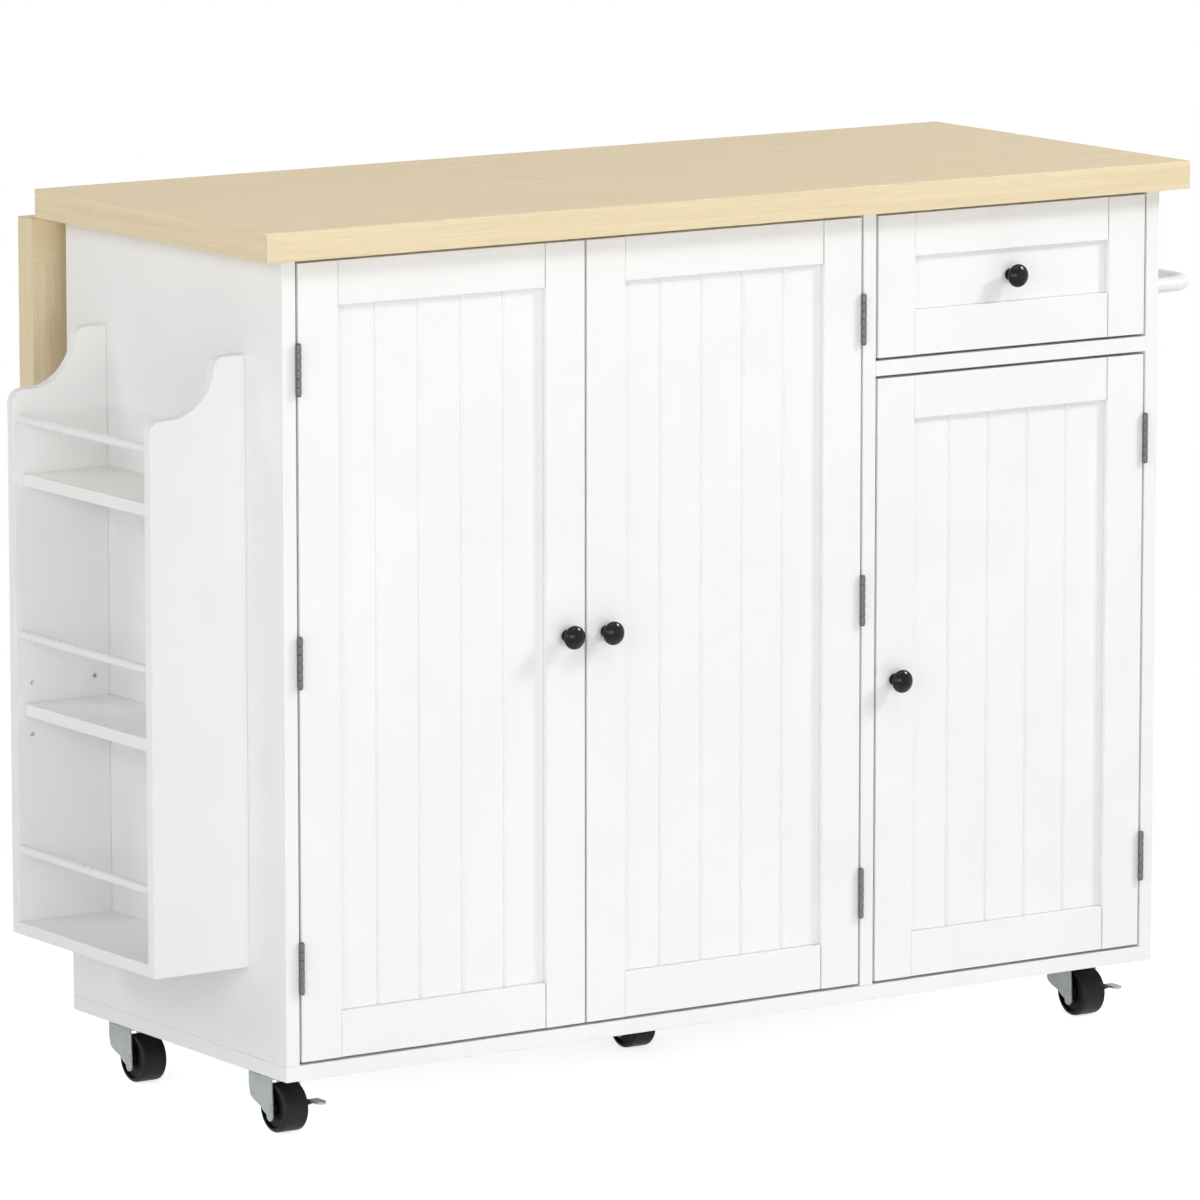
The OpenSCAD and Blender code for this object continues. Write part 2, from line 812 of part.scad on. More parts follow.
module fork_side() {
  polygon([for (p = fork_outline) [p[0] * caster_trail, p[1] * fork_top_z]]);
  translate([fork_tip_y, axle_z - fork_tip_drop]) circle(fork_tip_r);
  translate([fork_tip_y, axle_z]) circle(fork_tip_r);
}

// braked makes room for a pedal between the right side and the rivet head
module caster_fork(braked) {
  head_x = braked ? pedal_x + pedal_t + seat : fork_out;
  color(steel) {
    difference() {
      union() {
        for (x = [-fork_out, fork_in])
          translate([x, -caster_trail, 0]) rotate([90, 0, 90])
            linear_extrude(fork_t) fork_side();
        intersection() {
          translate([-fork_out, -fork_top_l / 2, fork_top_z - fork_top_t])
            cube([2 * fork_out, fork_top_l, fork_top_t]);
          translate([0, 0, fork_top_z - fork_top_t])
            cylinder(h = fork_top_t, r = fork_top_r);
        }
      }
      translate([0, 0, fork_top_z - fork_top_t - 1])
        cylinder(h = fork_top_t + 2, r = kingpin_r + run);
      translate([-fork_out - 1, -caster_trail, axle_z])
        bar_x(axle_r + run, 2 * fork_out + 2);
    }
    translate([-fork_out - rivet_t, -caster_trail, axle_z]) {
      bar_x(axle_r, head_x + fork_out + 2 * rivet_t);
      bar_x(rivet_r, rivet_t);
    }
    translate([head_x, -caster_trail, axle_z]) bar_x(rivet_r, rivet_t);
  }
}

module wheel_section() {
  r = wheel_d / 2;
  half = wheel_w / 2;
  s = wheel_shoulder;
  difference() {
    union() {
      translate([axle_r + run, -half]) square([r - s - axle_r - run, wheel_w]);
      translate([axle_r + run, s - half]) square([r - axle_r - run, wheel_w - 2 * s]);
      for (y = [s - half, half - s])
        translate([r - s, y]) circle(s, $fn = 48);
    }
    for (y = [-half - 1, half - wheel_recess])
      translate([hub_r, y]) square([wheel_recess_r - hub_r, wheel_recess + 1]);
  }
}

module caster_wheel() {
  color(black)
    translate([0, -caster_trail, axle_z]) rotate([0, 90, 0])
      rotate_extrude($fn = 96) wheel_section();
}

// Pedal beside the fork: an arm round the axle and a rounded tab to step on
module brake_pedal() {
  tab_y0 = -31;
  tab_y1 = -16;
  color(steel) translate([0, -caster_trail, axle_z]) {
    difference() {
      translate([pedal_x, 0, 0]) rotate([90, 0, 90]) linear_extrude(pedal_t) {
        circle(8);
        polygon([[-4, 6.5], [tab_y1, pedal_tab_z + pedal_tab_t],
          [tab_y0 + 5, pedal_tab_z + pedal_tab_t], [tab_y0 + 5, pedal_tab_z],
          [tab_y1, 2], [-6, -4]]);
      }
      translate([pedal_x - 1, 0, 0]) bar_x(axle_r + run, pedal_t + 2);
    }
    translate([pedal_x, tab_y0, pedal_tab_z])
      cube([2 * pedal_tab_r, tab_y1 - tab_y0, pedal_tab_t]);
    translate([pedal_x + pedal_tab_r, tab_y0, pedal_tab_z])
      cylinder(h = pedal_tab_t, r = pedal_tab_r);
  }
}

module at_caster(i) {
  translate([caster_places[i][0], caster_places[i][1], 0]) children();
}

// ---- Leaf ----

module leaf_panel() {
  color(oak)
    board([-top_over_side, leaf_in_y + border_t, leaf_top_z - leaf_l],
      [cab_w + top_over_side, leaf_out_y, leaf_top_z]);
}

module leaf_border() {
  y1 = leaf_in_y + border_t;
  z0 = leaf_top_z - leaf_l;
  color(oak) difference() {
    board([-top_over_side, leaf_in_y, z0], [cab_w + top_over_side, y1, leaf_top_z]);
    board([border_w - top_over_side, leaf_in_y - 1, z0 + border_w],
      [cab_w + top_over_side - border_w, y1 + 1, leaf_top_z - border_w]);
  }
}

// Leaf hinge round its pin: first 0 is the worktop's plate, first 1 the leaf's.
// x runs along the pin, the plate lies at the height leaf_face and runs to -y.
module leaf_hinge_leaf(first, w) {
  clear = leaf_knuckle_d / 2 + seat;
  color(pewter) difference() {
    union() {
      translate([-leaf_hinge_l / 2, -w, leaf_face - leaf_hinge_t])
        cube([leaf_hinge_l, w - clear, leaf_hinge_t]);
      for (i = [first:2:leaf_hinge_segments - 1])
        translate([-leaf_hinge_l / 2 + i * leaf_hinge_pitch + seat / 2, 0, 0]) {
          bar_x(leaf_knuckle_d / 2, leaf_hinge_pitch - seat);
          translate([0, -clear, leaf_face - leaf_hinge_t])
            cube([leaf_hinge_pitch - seat, clear, leaf_hinge_t]);
        }
    }
    translate([-leaf_hinge_l, 0, 0]) bar_x(leaf_pin_d / 2 + run, 2 * leaf_hinge_l);
  }
}

module each_leaf_hinge() {
  for (x = leaf_hinge_xs)
    translate([x, leaf_pin_y, leaf_pin_z]) children();
}

module prop_saddles() {
  face_y = leaf_in_y + border_t;
  z = leaf_pin_z - prop_reach;
  color(white)
    for (x = prop_xs)
      difference() {
        board([x - saddle_size[0] / 2, face_y - saddle_t, z - saddle_size[1] / 2],
          [x + saddle_size[0] / 2, face_y, z + saddle_size[1] / 2]);
        translate([x - saddle_size[0], face_y - saddle_t + saddle_groove - saddle_groove_r, z])
          bar_x(saddle_groove_r, 2 * saddle_size[0]);
      }
}

module prop_brackets() {
  color(white)
    for (x = prop_xs) {
      inner = prop_w / 2 + bracket_gap;
      board([x - bracket_half_w, cab_d, prop_z - bracket_half_h],
        [x + bracket_half_w, cab_d + bracket_t, prop_z + bracket_half_h]);
      for (side = [-1, 1])
        difference() {
          translate([x + (side > 0 ? inner : -inner - bracket_t), cab_d + bracket_t - 1,
              prop_z - ear_half_h])
            cube([bracket_t, prop_y - cab_d + ear_past_pin, 2 * ear_half_h]);
          translate([x - prop_w, prop_y, prop_z]) bar_x(prop_pin_r + run, 2 * prop_w);
        }
    }
}

module prop_leg(x) {
  difference() {
    union() {
      board([x - prop_w / 2, prop_y - prop_t / 2, prop_z - prop_l],
        [x + prop_w / 2, prop_y + prop_t / 2, prop_z]);
      for (z = [prop_z, prop_z - prop_l])
        translate([x - prop_w / 2, prop_y, z]) bar_x(prop_t / 2, prop_w);
    }
    translate([x - prop_w, prop_y, prop_z]) bar_x(prop_pin_r + run, 2 * prop_w);
  }
}

module leaf_prop() {
  color(oak) {
    for (x = prop_xs)
      prop_leg(x);
    board([prop_xs[0] + prop_w / 2, prop_y - prop_t / 2, prop_z - prop_rail_at - prop_w / 2],
      [prop_xs[1] - prop_w / 2, prop_y + prop_t / 2, prop_z - prop_rail_at + prop_w / 2]);
  }
}

// All pins that turn nothing by themselves: door hinges, leaf hinges, prop
module hinge_pins() {
  prop_pin_l = prop_w + 2 * (bracket_gap + bracket_t) + 2;
  each_door_hinge() hinge_pin();
  color(pewter) {
    each_leaf_hinge() translate([-leaf_hinge_l / 2, 0, 0])
      bar_x(leaf_pin_d / 2, leaf_hinge_l);
    for (x = prop_xs)
      translate([x - prop_pin_l / 2, prop_y, prop_z]) bar_x(prop_pin_r, prop_pin_l);
  }
}

// ---- Doors, left, middle and right, and the drawer's front ----

module door_left_frame() {
  translate(door_left_at) front_frame(door_size);
}

module door_left_panel() {
  translate(door_left_at) beaded_panel(door_size);
}

module door_left_knob() {
  translate(door_left_at + [door_w - knob_in, 0, front_middle(door_size)]) knob();
}

module door_left_hardware() {
  for (z = hinge_zs)
    on_pin(pin_left_x, z, 1) butt_leaf(1);
  strike(catch_mid_x - catch_side, rail_z - catch_size[2]);
}

module door_middle_frame() {
  translate(door_middle_at) front_frame(door_size);
}

module door_middle_panel() {
  translate(door_middle_at) beaded_panel(door_size);
}

module door_middle_knob() {
  translate(door_middle_at + [knob_in, 0, front_middle(door_size)]) knob();
}

module door_middle_hardware() {
  for (z = hinge_zs)
    on_pin(pin_middle_x, z, -1) butt_leaf(1);
  strike(catch_mid_x + catch_side, rail_z - catch_size[2]);
}

module door_right_frame() {
  translate(door_right_at) front_frame(door_right_size);
}

module door_right_panel() {
  translate(door_right_at) beaded_panel(door_right_size);
}

module door_right_knob() {
  translate(door_right_at + [knob_in, 0, front_middle(door_right_size)]) knob();
}

module door_right_hardware() {
  for (z = hinge_right_zs)
    on_pin(pin_right_x, z, -1) butt_leaf(1);
  strike(catch_right_x, drawer_rail_z - catch_size[2]);
}

module drawer_front() {
  translate(drawer_at) front_frame(drawer_size);
}

module drawer_front_panel() {
  translate(drawer_at) flat_panel(drawer_size);
}

module drawer_knob() {
  translate(drawer_at + [door_right_w / 2, panel_in, front_middle(drawer_size)]) knob();
}

// ---- Hinges and casters in their places ----

module hinge_leaves_cabinet() {
  each_door_hinge() butt_leaf(0);
}

module leaf_hinge_leaves_top() {
  each_leaf_hinge() leaf_hinge_leaf(0, leaf_top_plate_w + 1);
}

module leaf_hinge_leaves() {
  each_leaf_hinge()
    rotate([-90, 0, 0]) mirror([0, 1, 0]) leaf_hinge_leaf(1, leaf_plate_w);
}

module caster_plates() {
  for (i = [0:len(caster_places) - 1])
    at_caster(i) caster_plate();
}

// ---- The island ----

placed() worktop_panel();
placed() worktop_border();
placed() side_panel_left();
placed() side_panel_right();
placed() divider_panel();
placed() base_panel();
placed() back_panel();
placed() drawer_rail();
placed() top_rails();
placed() cabinet_shelves();
placed() shelf_pins();
placed() rack_side_front();
placed() rack_side_back();
placed() rack_shelf_upper();
placed() rack_shelf_middle();
placed() rack_shelf_bottom();
placed() rack_rods();
placed() towel_bar();
placed() caster_plates();
placed() hinge_leaves_cabinet();
placed() hinge_pins();
placed() magnetic_catches();
placed() drawer_runners_cabinet();
placed() leaf_hinge_leaves_top();
placed() prop_brackets();
placed() door_left_frame();
placed() door_left_panel();
placed() door_left_knob();
placed() door_left_hardware();
placed() door_middle_frame();
placed() door_middle_panel();
placed() door_middle_knob();
placed() door_middle_hardware();
placed() door_right_frame();
placed() door_right_panel();
placed() door_right_knob();
placed() door_right_hardware();
placed() drawer_front();
placed() drawer_front_panel();
placed() drawer_box();
placed() drawer_bottom();
placed() drawer_knob();
placed() drawer_runner_members();
placed() leaf_panel();
placed() leaf_border();
placed() leaf_hinge_leaves();
placed() prop_saddles();
placed() leaf_prop();
placed() at_caster(0) caster_fork(true);  // caster_fork_front_left
placed() at_caster(1) caster_fork(true);  // caster_fork_front_right
placed() at_caster(2) caster_fork(false);  // caster_fork_back_left
placed() at_caster(3) caster_fork(false);  // caster_fork_back_right
placed() at_caster(4) caster_fork(false);  // caster_fork_middle
placed() at_caster(0) caster_wheel();  // caster_wheel_front_left
placed() at_caster(1) caster_wheel();  // caster_wheel_front_right
placed() at_caster(2) caster_wheel();  // caster_wheel_back_left
placed() at_caster(3) caster_wheel();  // caster_wheel_back_right
placed() at_caster(4) caster_wheel();  // caster_wheel_middle
placed() at_caster(0) brake_pedal();  // brake_pedal_left
placed() at_caster(1) brake_pedal();  // brake_pedal_right
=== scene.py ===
import json
import math

import bmesh
import bpy
import numpy as np
from mathutils import Matrix, Vector


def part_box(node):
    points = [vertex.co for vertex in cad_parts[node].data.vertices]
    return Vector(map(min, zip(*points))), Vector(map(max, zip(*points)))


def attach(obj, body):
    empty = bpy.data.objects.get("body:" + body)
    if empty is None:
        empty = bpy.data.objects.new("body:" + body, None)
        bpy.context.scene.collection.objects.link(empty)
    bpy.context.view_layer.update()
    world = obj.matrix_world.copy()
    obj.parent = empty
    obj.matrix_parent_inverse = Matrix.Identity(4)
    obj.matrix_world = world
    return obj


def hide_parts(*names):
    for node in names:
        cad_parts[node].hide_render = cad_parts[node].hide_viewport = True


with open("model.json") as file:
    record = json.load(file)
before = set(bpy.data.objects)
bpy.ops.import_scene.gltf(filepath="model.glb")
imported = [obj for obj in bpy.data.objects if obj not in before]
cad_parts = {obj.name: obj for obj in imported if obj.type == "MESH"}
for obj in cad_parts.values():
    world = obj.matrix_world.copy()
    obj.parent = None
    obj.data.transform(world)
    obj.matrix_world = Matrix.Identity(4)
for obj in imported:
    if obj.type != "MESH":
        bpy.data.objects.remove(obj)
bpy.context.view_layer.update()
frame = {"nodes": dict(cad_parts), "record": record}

bl_info = {
    "name": "Drop leaf kitchen island",
    "version": (1, 0, 0),
    "blender": (4, 5, 0),
    "location": "3D View > Sidebar > Island",
    "description": "Gives the island's frame its wood, paint, metal and small parts",
    "category": "Object",
}

MM = 0.001
DOORS = ("left", "middle", "right")
PROP_LEG = 28 * MM  # width of each leg of the leaf's prop
KNOBBED = ("door_left", "door_middle", "door_right", "drawer")
ENDS = (-1, 1)  # to both sides of a middle
CASTERS = ("front_left", "front_right", "back_left", "back_right", "middle")
X, Y, Z = Vector((1, 0, 0)), Vector((0, 1, 0)), Vector((0, 0, 1))
NEAR = 1e-6  # corners that are nearer than this are the same
SLACK = 0.3 * MM  # room for a panel's edge in its groove


# ---- Sizes and colours that a user would change ----


def length(name, description, default, high=0.1):
    return bpy.props.FloatProperty(
        name=name, description=description, default=default,
        min=0.0, max=high, unit="LENGTH", precision=5,
    )


def colour(name, description, default):
    return bpy.props.FloatVectorProperty(
        name=name, description=description, default=(*default, 1.0),
        size=4, min=0.0, max=1.0, subtype="COLOR",
    )


class IslandSizes(bpy.types.PropertyGroup):
    """Small forms that the frame leaves to the finish"""

    board_arris: length("Board arris", "Rounding of the painted boards' edges", 0.7 * MM, 0.002)
    front_arris: length("Front arris", "Rounding of the doors' and drawer's boards", 0.3 * MM, 0.001)
    top_arris: length("Worktop arris", "Rounding of the worktop's and leaf's edges", 0.9 * MM, 0.003)
    rack_arris: length("Rack arris", "Rounding of the rack's side boards", 0.9 * MM, 0.001)
    metal_arris: length("Metal arris", "Rounding of sheet metal edges", 0.25 * MM, 0.0006)
    knuckle_arris: length("Knuckle arris", "Rounding of the hinges' knuckles", 0.8 * MM, 0.0012)
    strip_width: length("Strip width", "Width of the strips under worktop and leaf", 46 * MM)
    joint_width: length("Joint width", "Width of the open glue line in the leaf", 0.6 * MM, 0.002)
    stile_width: length("Stile width", "Width of the doors' stiles and lower rails", 47 * MM)
    top_rail_width: length("Top rail width", "Width of the upper rails", 45.2 * MM)
    rail_in: length("Rail setback", "How far the rails lie behind the stiles", 0.9 * MM, 0.004)
    edge_groove: length("Edge groove", "Width of the shadow line round a panel", 1.0 * MM, 0.003)
    joint_gap: length("Joint gap", "Open joint at each end of a door's rails", 0.8 * MM, 0.001)
    groove_half: length("Groove half width", "Half the width of a bead groove", 3.1 * MM, 0.01)
    groove_depth: length("Groove depth", "Depth of a bead groove", 2.2 * MM, 0.004)
    board_pitch: length("Board pitch", "Distance between bead grooves", 51 * MM)
    screw_head: length("Screw head", "Diameter of the common screw heads", 7.5 * MM, 0.02)


class IslandColours(bpy.types.PropertyGroup):
    """Base colours of the finishes"""

    paint: colour("Paint", "White satin paint of the cabinet", (0.905, 0.905, 0.897))
    wood_pale: colour("Wood, pale", "Pale part of the wood's grain", (0.885, 0.748, 0.503))
    wood_dark: colour("Wood, dark", "Dark part of the wood's grain", (0.778, 0.645, 0.418))
    # The worktop's top face has a tint of its own, apart from the same wood's edges: a painted
    # difference of light between top and edges
    top_painted_light_pale: colour("Worktop, pale", "Pale part of the worktop's lacquered face", (0.925, 0.752, 0.474))
    top_painted_light_dark: colour("Worktop, dark", "Dark part of the worktop's lacquered face", (0.808, 0.648, 0.398))
    birch: colour("Birch", "Raw wood of the drawer box", (0.70, 0.56, 0.38))
    steel_paint: colour("Steel paint", "Powder coat of bar, rods and brackets", (0.88, 0.88, 0.875))
    zinc: colour("Zinc", "Plated steel of the casters", (0.385, 0.42, 0.42))
    pewter: colour("Pewter", "Hinges", (0.165, 0.165, 0.16))
    knob: colour("Knob", "Gloss lacquer of the knobs", (0.006, 0.006, 0.0065))
    tyre: colour("Tyre", "Tread of the wheels", (0.0065, 0.0065, 0.0065))
    floor: colour("Floor", "Studio floor", (0.86, 0.86, 0.86))


def sizes():
    return bpy.context.scene.island_sizes


def colours():
    return bpy.context.scene.island_colours


# ---- Nodes ----


def feed(tree, node, values):
    """Links or sets a node's inputs, named by number, such as i0, or by name"""
    for key, value in values.items():
        by_number = key[0] == "i" and key[1:].isdigit()
        socket = node.inputs[int(key[1:]) if by_number else key.replace("_", " ")]
        if isinstance(value, bpy.types.NodeSocket):
            tree.links.new(value, socket)
        else:
            socket.default_value = value


def knot(tree, kind, look=None, **values):
    """Adds a node of a kind with its settings and its inputs"""
    node = tree.nodes.new(kind)
    for key, value in (look or {}).items():
        setattr(node, key, value)
    feed(tree, node, values)
    return node


# ---- Finishes ----


class Finish:
    """A material under construction: its shader and the object's coordinates"""

    def __init__(self, name):
        self.material = bpy.data.materials.new(name)
        self.material.use_nodes = True
        self.tree = self.material.node_tree
        self.tree.nodes.clear()
        self.shader = self.put("BsdfPrincipled")
        self.put("OutputMaterial", Surface=self.shader.outputs[0])
        self.place = self.put("TexCoord").outputs["Object"]

    def put(self, kind, look=None, **values):
        return knot(self.tree, "ShaderNode" + kind, look, **values)

    def stretch(self, scale, shift=(0, 0, 0)):
        """Coordinates stretched along the axes"""
        return self.put("Mapping", Vector=self.place, Scale=scale, Location=shift).outputs[0]

    def noise(self, vector, scale, detail, roughness=0.5, distortion=0.0):
        node = self.put("TexNoise", Vector=vector, Scale=scale, Detail=detail,
                        Roughness=roughness, Distortion=distortion)
        return node.outputs[0]

    def span(self, value, low, high, to_low=0.0, to_high=1.0):
        """Moves low..high to another range, smoothly and clamped"""
        node = self.put("MapRange", {"interpolation_type": "SMOOTHSTEP"}, Value=value,
                        From_Min=low, From_Max=high, To_Min=to_low, To_Max=to_high)
        return node.outputs[0]

    def add(self, a, b):
        return self.put("Math", {"operation": "ADD"}, i0=a, i1=b).outputs[0]

    def times(self, a, b):
        return self.put("Math", {"operation": "MULTIPLY"}, i0=a, i1=b).outputs[0]

    def blend(self, share, a, b):
        return self.put("Mix", {"data_type": "RGBA"}, i0=share, i6=a, i7=b).outputs[2]

    def relief(self, height, distance, strength, normal=None):
        under = {} if normal is None else {"Normal": normal}
        node = self.put("Bump", Height=height, Distance=distance, Strength=strength, **under)
        return node.outputs[0]

    def done(self, **values):
        feed(self.tree, self.shader, values)
        return self.material


def shade(rgba, factor):
    return (*(min(1.0, c * factor) for c in rgba[:3]), 1.0)


def edge_wear_and_highlight(f):
    """Share of handling wear: only on the eased edges, and in patches"""
    edge = f.put("Attribute", {"attribute_name": "arris"}).outputs["Fac"]
    patches = f.span(f.noise(f.place, 38.0, 3.0), 0.48, 0.66)
    return f.times(edge, patches)


def satin_paint():
    """Sprayed white paint: faint cloudiness, orange peel, dulled edges"""
    f = Finish("white_satin_paint")
    base = tuple(colours().paint)
    cloud = f.noise(f.place, 7.0, 3.0, 0.55)
    tone = f.blend(f.span(cloud, 0.3, 0.7), shade(base, 0.985), shade(base, 1.01))
    tone = f.blend(edge_wear_and_highlight(f), tone, shade(base, 0.93))
    peel = f.noise(f.place, 950.0, 2.0)
    waves = f.noise(f.place, 60.0, 1.0)
    normal = f.relief(peel, 0.03 * MM, 0.35)
    normal = f.relief(waves, 0.15 * MM, 0.25, normal)
    rough = f.span(f.noise(f.place, 24.0, 4.0), 0.25, 0.75, 0.36, 0.48)
    return f.done(Base_Color=tone, Roughness=rough, Normal=normal, Specular_IOR_Level=0.42)


def grained_wood(name, pale, dark, grain, shift, satin=0.42, contrast=1.0):
    """Lacquered wood whose fibres run along one axis: 0 for x, 1 for y, 2 for z"""
    f = Finish(name)

    def along(lengthwise, across):
        scale = [across] * 3
        scale[grain] = lengthwise
        return f.stretch(scale, shift)

    # broad drift, cathedral figure, fine streaks, fibres and open pores
    bend = f.noise(along(1.1, 6.0), 1.0, 2.0, 0.5)
    figure = f.put("TexWave", {"wave_type": "BANDS", "bands_direction": "XYZ"[(grain + 1) % 3]},
                   Vector=along(0.9, 16.0), Scale=1.0, Distortion=11.0, Detail=4.0,
                   Detail_Scale=1.4, Detail_Roughness=0.6).outputs[1]
    streaks = f.noise(along(3.2, 230.0), 1.0, 5.0, 0.68, 0.12)
    fibres = f.noise(along(20.0, 900.0), 1.0, 3.0, 0.65)
    pores = f.span(f.noise(along(26.0, 620.0), 1.0, 1.0), 0.60, 0.72)
    share = f.add(f.add(f.times(bend, 0.16), f.times(figure, 0.13)), f.times(streaks, 0.80))
    middle, spread = 0.545, 0.26 / contrast
    tone = f.blend(f.span(share, middle - spread, middle + spread), pale, dark)
    tone = f.blend(f.span(fibres, 0.3, 0.7, 0.0, 0.20 * contrast), tone, shade(dark, 0.80))
    tone = f.blend(f.times(pores, 0.13 * contrast), tone, shade(dark, 0.66))
    # the eased edges paler: partly handling wear, mostly a painted highlight along the arris
    tone = f.blend(f.times(edge_wear_and_highlight(f), 0.8), tone, shade(pale, 1.09))
    normal = f.relief(f.add(fibres, f.times(pores, -0.8)), 0.05 * MM, 0.45)
    normal = f.relief(f.noise(f.place, 18.0, 1.0), 0.25 * MM, 0.25, normal)
    rough = f.span(streaks, 0.3, 0.7, satin, satin + 0.09)
    return f.done(Base_Color=tone, Roughness=rough, Normal=normal, Specular_IOR_Level=0.4)


def pale_wood(name, grain, shift):
    return grained_wood(name, tuple(colours().wood_pale), tuple(colours().wood_dark), grain, shift)


# The wood of the worktop's top face only, in its own tint: painted light that sets the top apart from
# its edges
def worktop_painted_light_wood(name, grain, shift):
    return grained_wood(name, tuple(colours().top_painted_light_pale), tuple(colours().top_painted_light_dark), grain, shift)


def raw_birch(name, grain, shift):
    """Sanded but not lacquered, so duller and calmer"""
    pale = tuple(colours().birch)
    return grained_wood(name, pale, shade(pale, 0.84), grain, shift, satin=0.62, contrast=0.8)


def powder_coat():
    """White powder coat on steel: fine grain and a soft shine"""
    f = Finish("white_powder_coat")
    base = tuple(colours().steel_paint)
    grain = f.noise(f.place, 750.0, 2.0)
    tone = f.blend(f.span(grain, 0.35, 0.7), base, shade(base, 0.975))
    tone = f.blend(f.times(edge_wear_and_highlight(f), 0.5), tone, shade(base, 0.8))
    rough = f.span(f.noise(f.place, 120.0, 3.0), 0.3, 0.7, 0.27, 0.38)
    return f.done(Base_Color=tone, Roughness=rough, Normal=f.relief(grain, 0.02 * MM, 0.15))


def plated_steel(name, base, metallic, rough, spangle=0.12):
    """Plated sheet steel: mottled crystals, rolling lines and rubbed edges"""
    f = Finish(name)
    cells = f.put("TexVoronoi", Vector=f.place, Scale=420.0, Randomness=1.0).outputs["Color"]
    mottle = f.span(f.noise(f.place, 90.0, 4.0, 0.6), 0.3, 0.7)
    tone = f.blend(f.times(mottle, spangle), base, shade(base, 0.72))
    tone = f.blend(0.1 * min(base[0], 0.5), tone, cells)
    tone = f.blend(f.times(edge_wear_and_highlight(f), 0.7), tone, shade(base, 1.5))
    lines = f.noise(f.stretch((300.0, 300.0, 2600.0)), 1.0, 2.0)
    level = f.span(mottle, 0.0, 1.0, rough - 0.06, rough + 0.08)
    return f.done(Base_Color=tone, Metallic=metallic, Roughness=level,
                  Normal=f.relief(lines, 0.012 * MM, 0.35))


def gloss_lacquer():
    """Black lacquer over a turned knob, with dust-fine specks and faint smears"""
    f = Finish("black_gloss_lacquer")
    base = tuple(colours().knob)
    smear = f.span(f.noise(f.place, 85.0, 3.0), 0.35, 0.75)
    tone = f.blend(smear, base, shade(base, 1.9))
    rough = f.span(f.noise(f.place, 140.0, 4.0), 0.3, 0.75, 0.09, 0.17)
    normal = f.relief(f.noise(f.place, 700.0, 1.0), 0.02 * MM, 0.3)
    return f.done(Base_Color=tone, Roughness=rough, Normal=normal,
                  Specular_IOR_Level=0.18, Coat_Weight=0.08, Coat_Roughness=0.04)


def moulded(name, base, rough, spread, shine=0.5):
    """Moulded plastic or rubber with a fine spark grain and scuffs"""
    f = Finish(name)
    grain = f.noise(f.place, 1300.0, 2.0)
    scuff = f.span(f.noise(f.place, 260.0, 4.0, 0.65), 0.52, 0.72)
    tone = f.blend(f.times(scuff, 0.5), base, shade(base, 1.8))
    tone = f.blend(f.times(edge_wear_and_highlight(f), 0.6), tone, shade(base, 2.2))
    level = f.span(scuff, 0.0, 1.0, rough, rough + spread)
    return f.done(Base_Color=tone, Roughness=level, Specular_IOR_Level=shine,
                  Normal=f.relief(grain, 0.03 * MM, 0.4))


FINISHES = {
    "paint": satin_paint,
    "wood_x": lambda: pale_wood("pale_wood_grain_x", 0, (0.0, 0.0, 0.0)),
    "wood_y": lambda: pale_wood("pale_wood_grain_y", 1, (3.1, 1.7, 0.4)),
    "wood_z": lambda: pale_wood("pale_wood_grain_z", 2, (5.3, 2.9, 7.1)),
    # the worktop's top face in its own tint, painted light apart from its edges
    "top_painted_light_x": lambda: worktop_painted_light_wood("worktop_grain_x", 0, (0.7, 0.35, 0.2)),
    "birch_x": lambda: raw_birch("raw_birch_grain_x", 0, (1.3, 0.2, 0.9)),
    "birch_y": lambda: raw_birch("raw_birch_grain_y", 1, (2.3, 4.2, 6.9)),
    "steel_paint": powder_coat,
    "zinc": lambda: plated_steel("zinc_plate", tuple(colours().zinc), 0.55, 0.44),
    "bright": lambda: plated_steel("bright_screw_steel", (0.52, 0.52, 0.51, 1.0), 0.9, 0.28),
    "pewter": lambda: plated_steel("pewter_plate", tuple(colours().pewter), 0.6, 0.40, 0.35),
    "knob": gloss_lacquer,
    "tyre": lambda: moulded("black_tyre", tuple(colours().tyre), 0.46, 0.16, 0.22),
    "hub": lambda: moulded("black_hub_plastic", shade(colours().tyre, 0.25), 0.4, 0.18, 0.1),
    "white_plastic": lambda: moulded("white_plastic", (0.80, 0.80, 0.785, 1.0), 0.36, 0.12),
}
_made = {}


def finish(name):
    if name not in _made:
        _made[name] = FINISHES[name]()
    return _made[name]


# ---- Shapes ----


def box_of(node):
    low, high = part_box(node)
    return tuple(low), tuple(high)


def anchor(box, where):
    """A place in a box, named by l, m or h for x, y and z: low side, middle or high side"""
    low, high = box
    return Vector([
        (low[i], (low[i] + high[i]) / 2, high[i])["lmh".index(where[i])] for i in range(3)
    ])


def mesh_of(name, bm):
    """A mesh with what a bmesh holds, and the bmesh is let go"""
    mesh = bpy.data.meshes.new(name)
    bm.to_mesh(mesh)
    bm.free()
    return mesh


def new_object(name, data):
    obj = bpy.data.objects.new(name, data)
    bpy.context.scene.collection.objects.link(obj)
    return obj


def welded(node):
    """A node's solids as one mesh, with the corners of its triangles joined"""
    bm = bmesh.new()
    bm.from_mesh(frame["nodes"][node].data)
    bmesh.ops.remove_doubles(bm, verts=bm.verts, dist=2 * NEAR)
    return bm


def cad_copy(node):
    """A node's solids as one mesh, its flat faces whole again"""
    bm = welded(node)
    bmesh.ops.dissolve_limit(bm, angle_limit=math.radians(0.15), verts=bm.verts, edges=bm.edges)
    return bm


def solids_of(node):
    """The low and high corner of each solid of a node, from left to right"""
    bm = welded(node)
    left, boxes = set(bm.verts), []
    while left:
        reach, group = [left.pop()], []
        while reach:
            vert = reach.pop()
            group.append(vert.co.copy())
            for edge in vert.link_edges:
                other = edge.other_vert(vert)
                if other in left:
                    left.remove(other)
                    reach.append(other)
        boxes.append(tuple(
            Vector([pick(co[i] for co in group) for i in range(3)]) for pick in (min, max)))
    bm.free()
    return sorted(boxes, key=lambda box: tuple(round(c, 4) for c in box[0]))


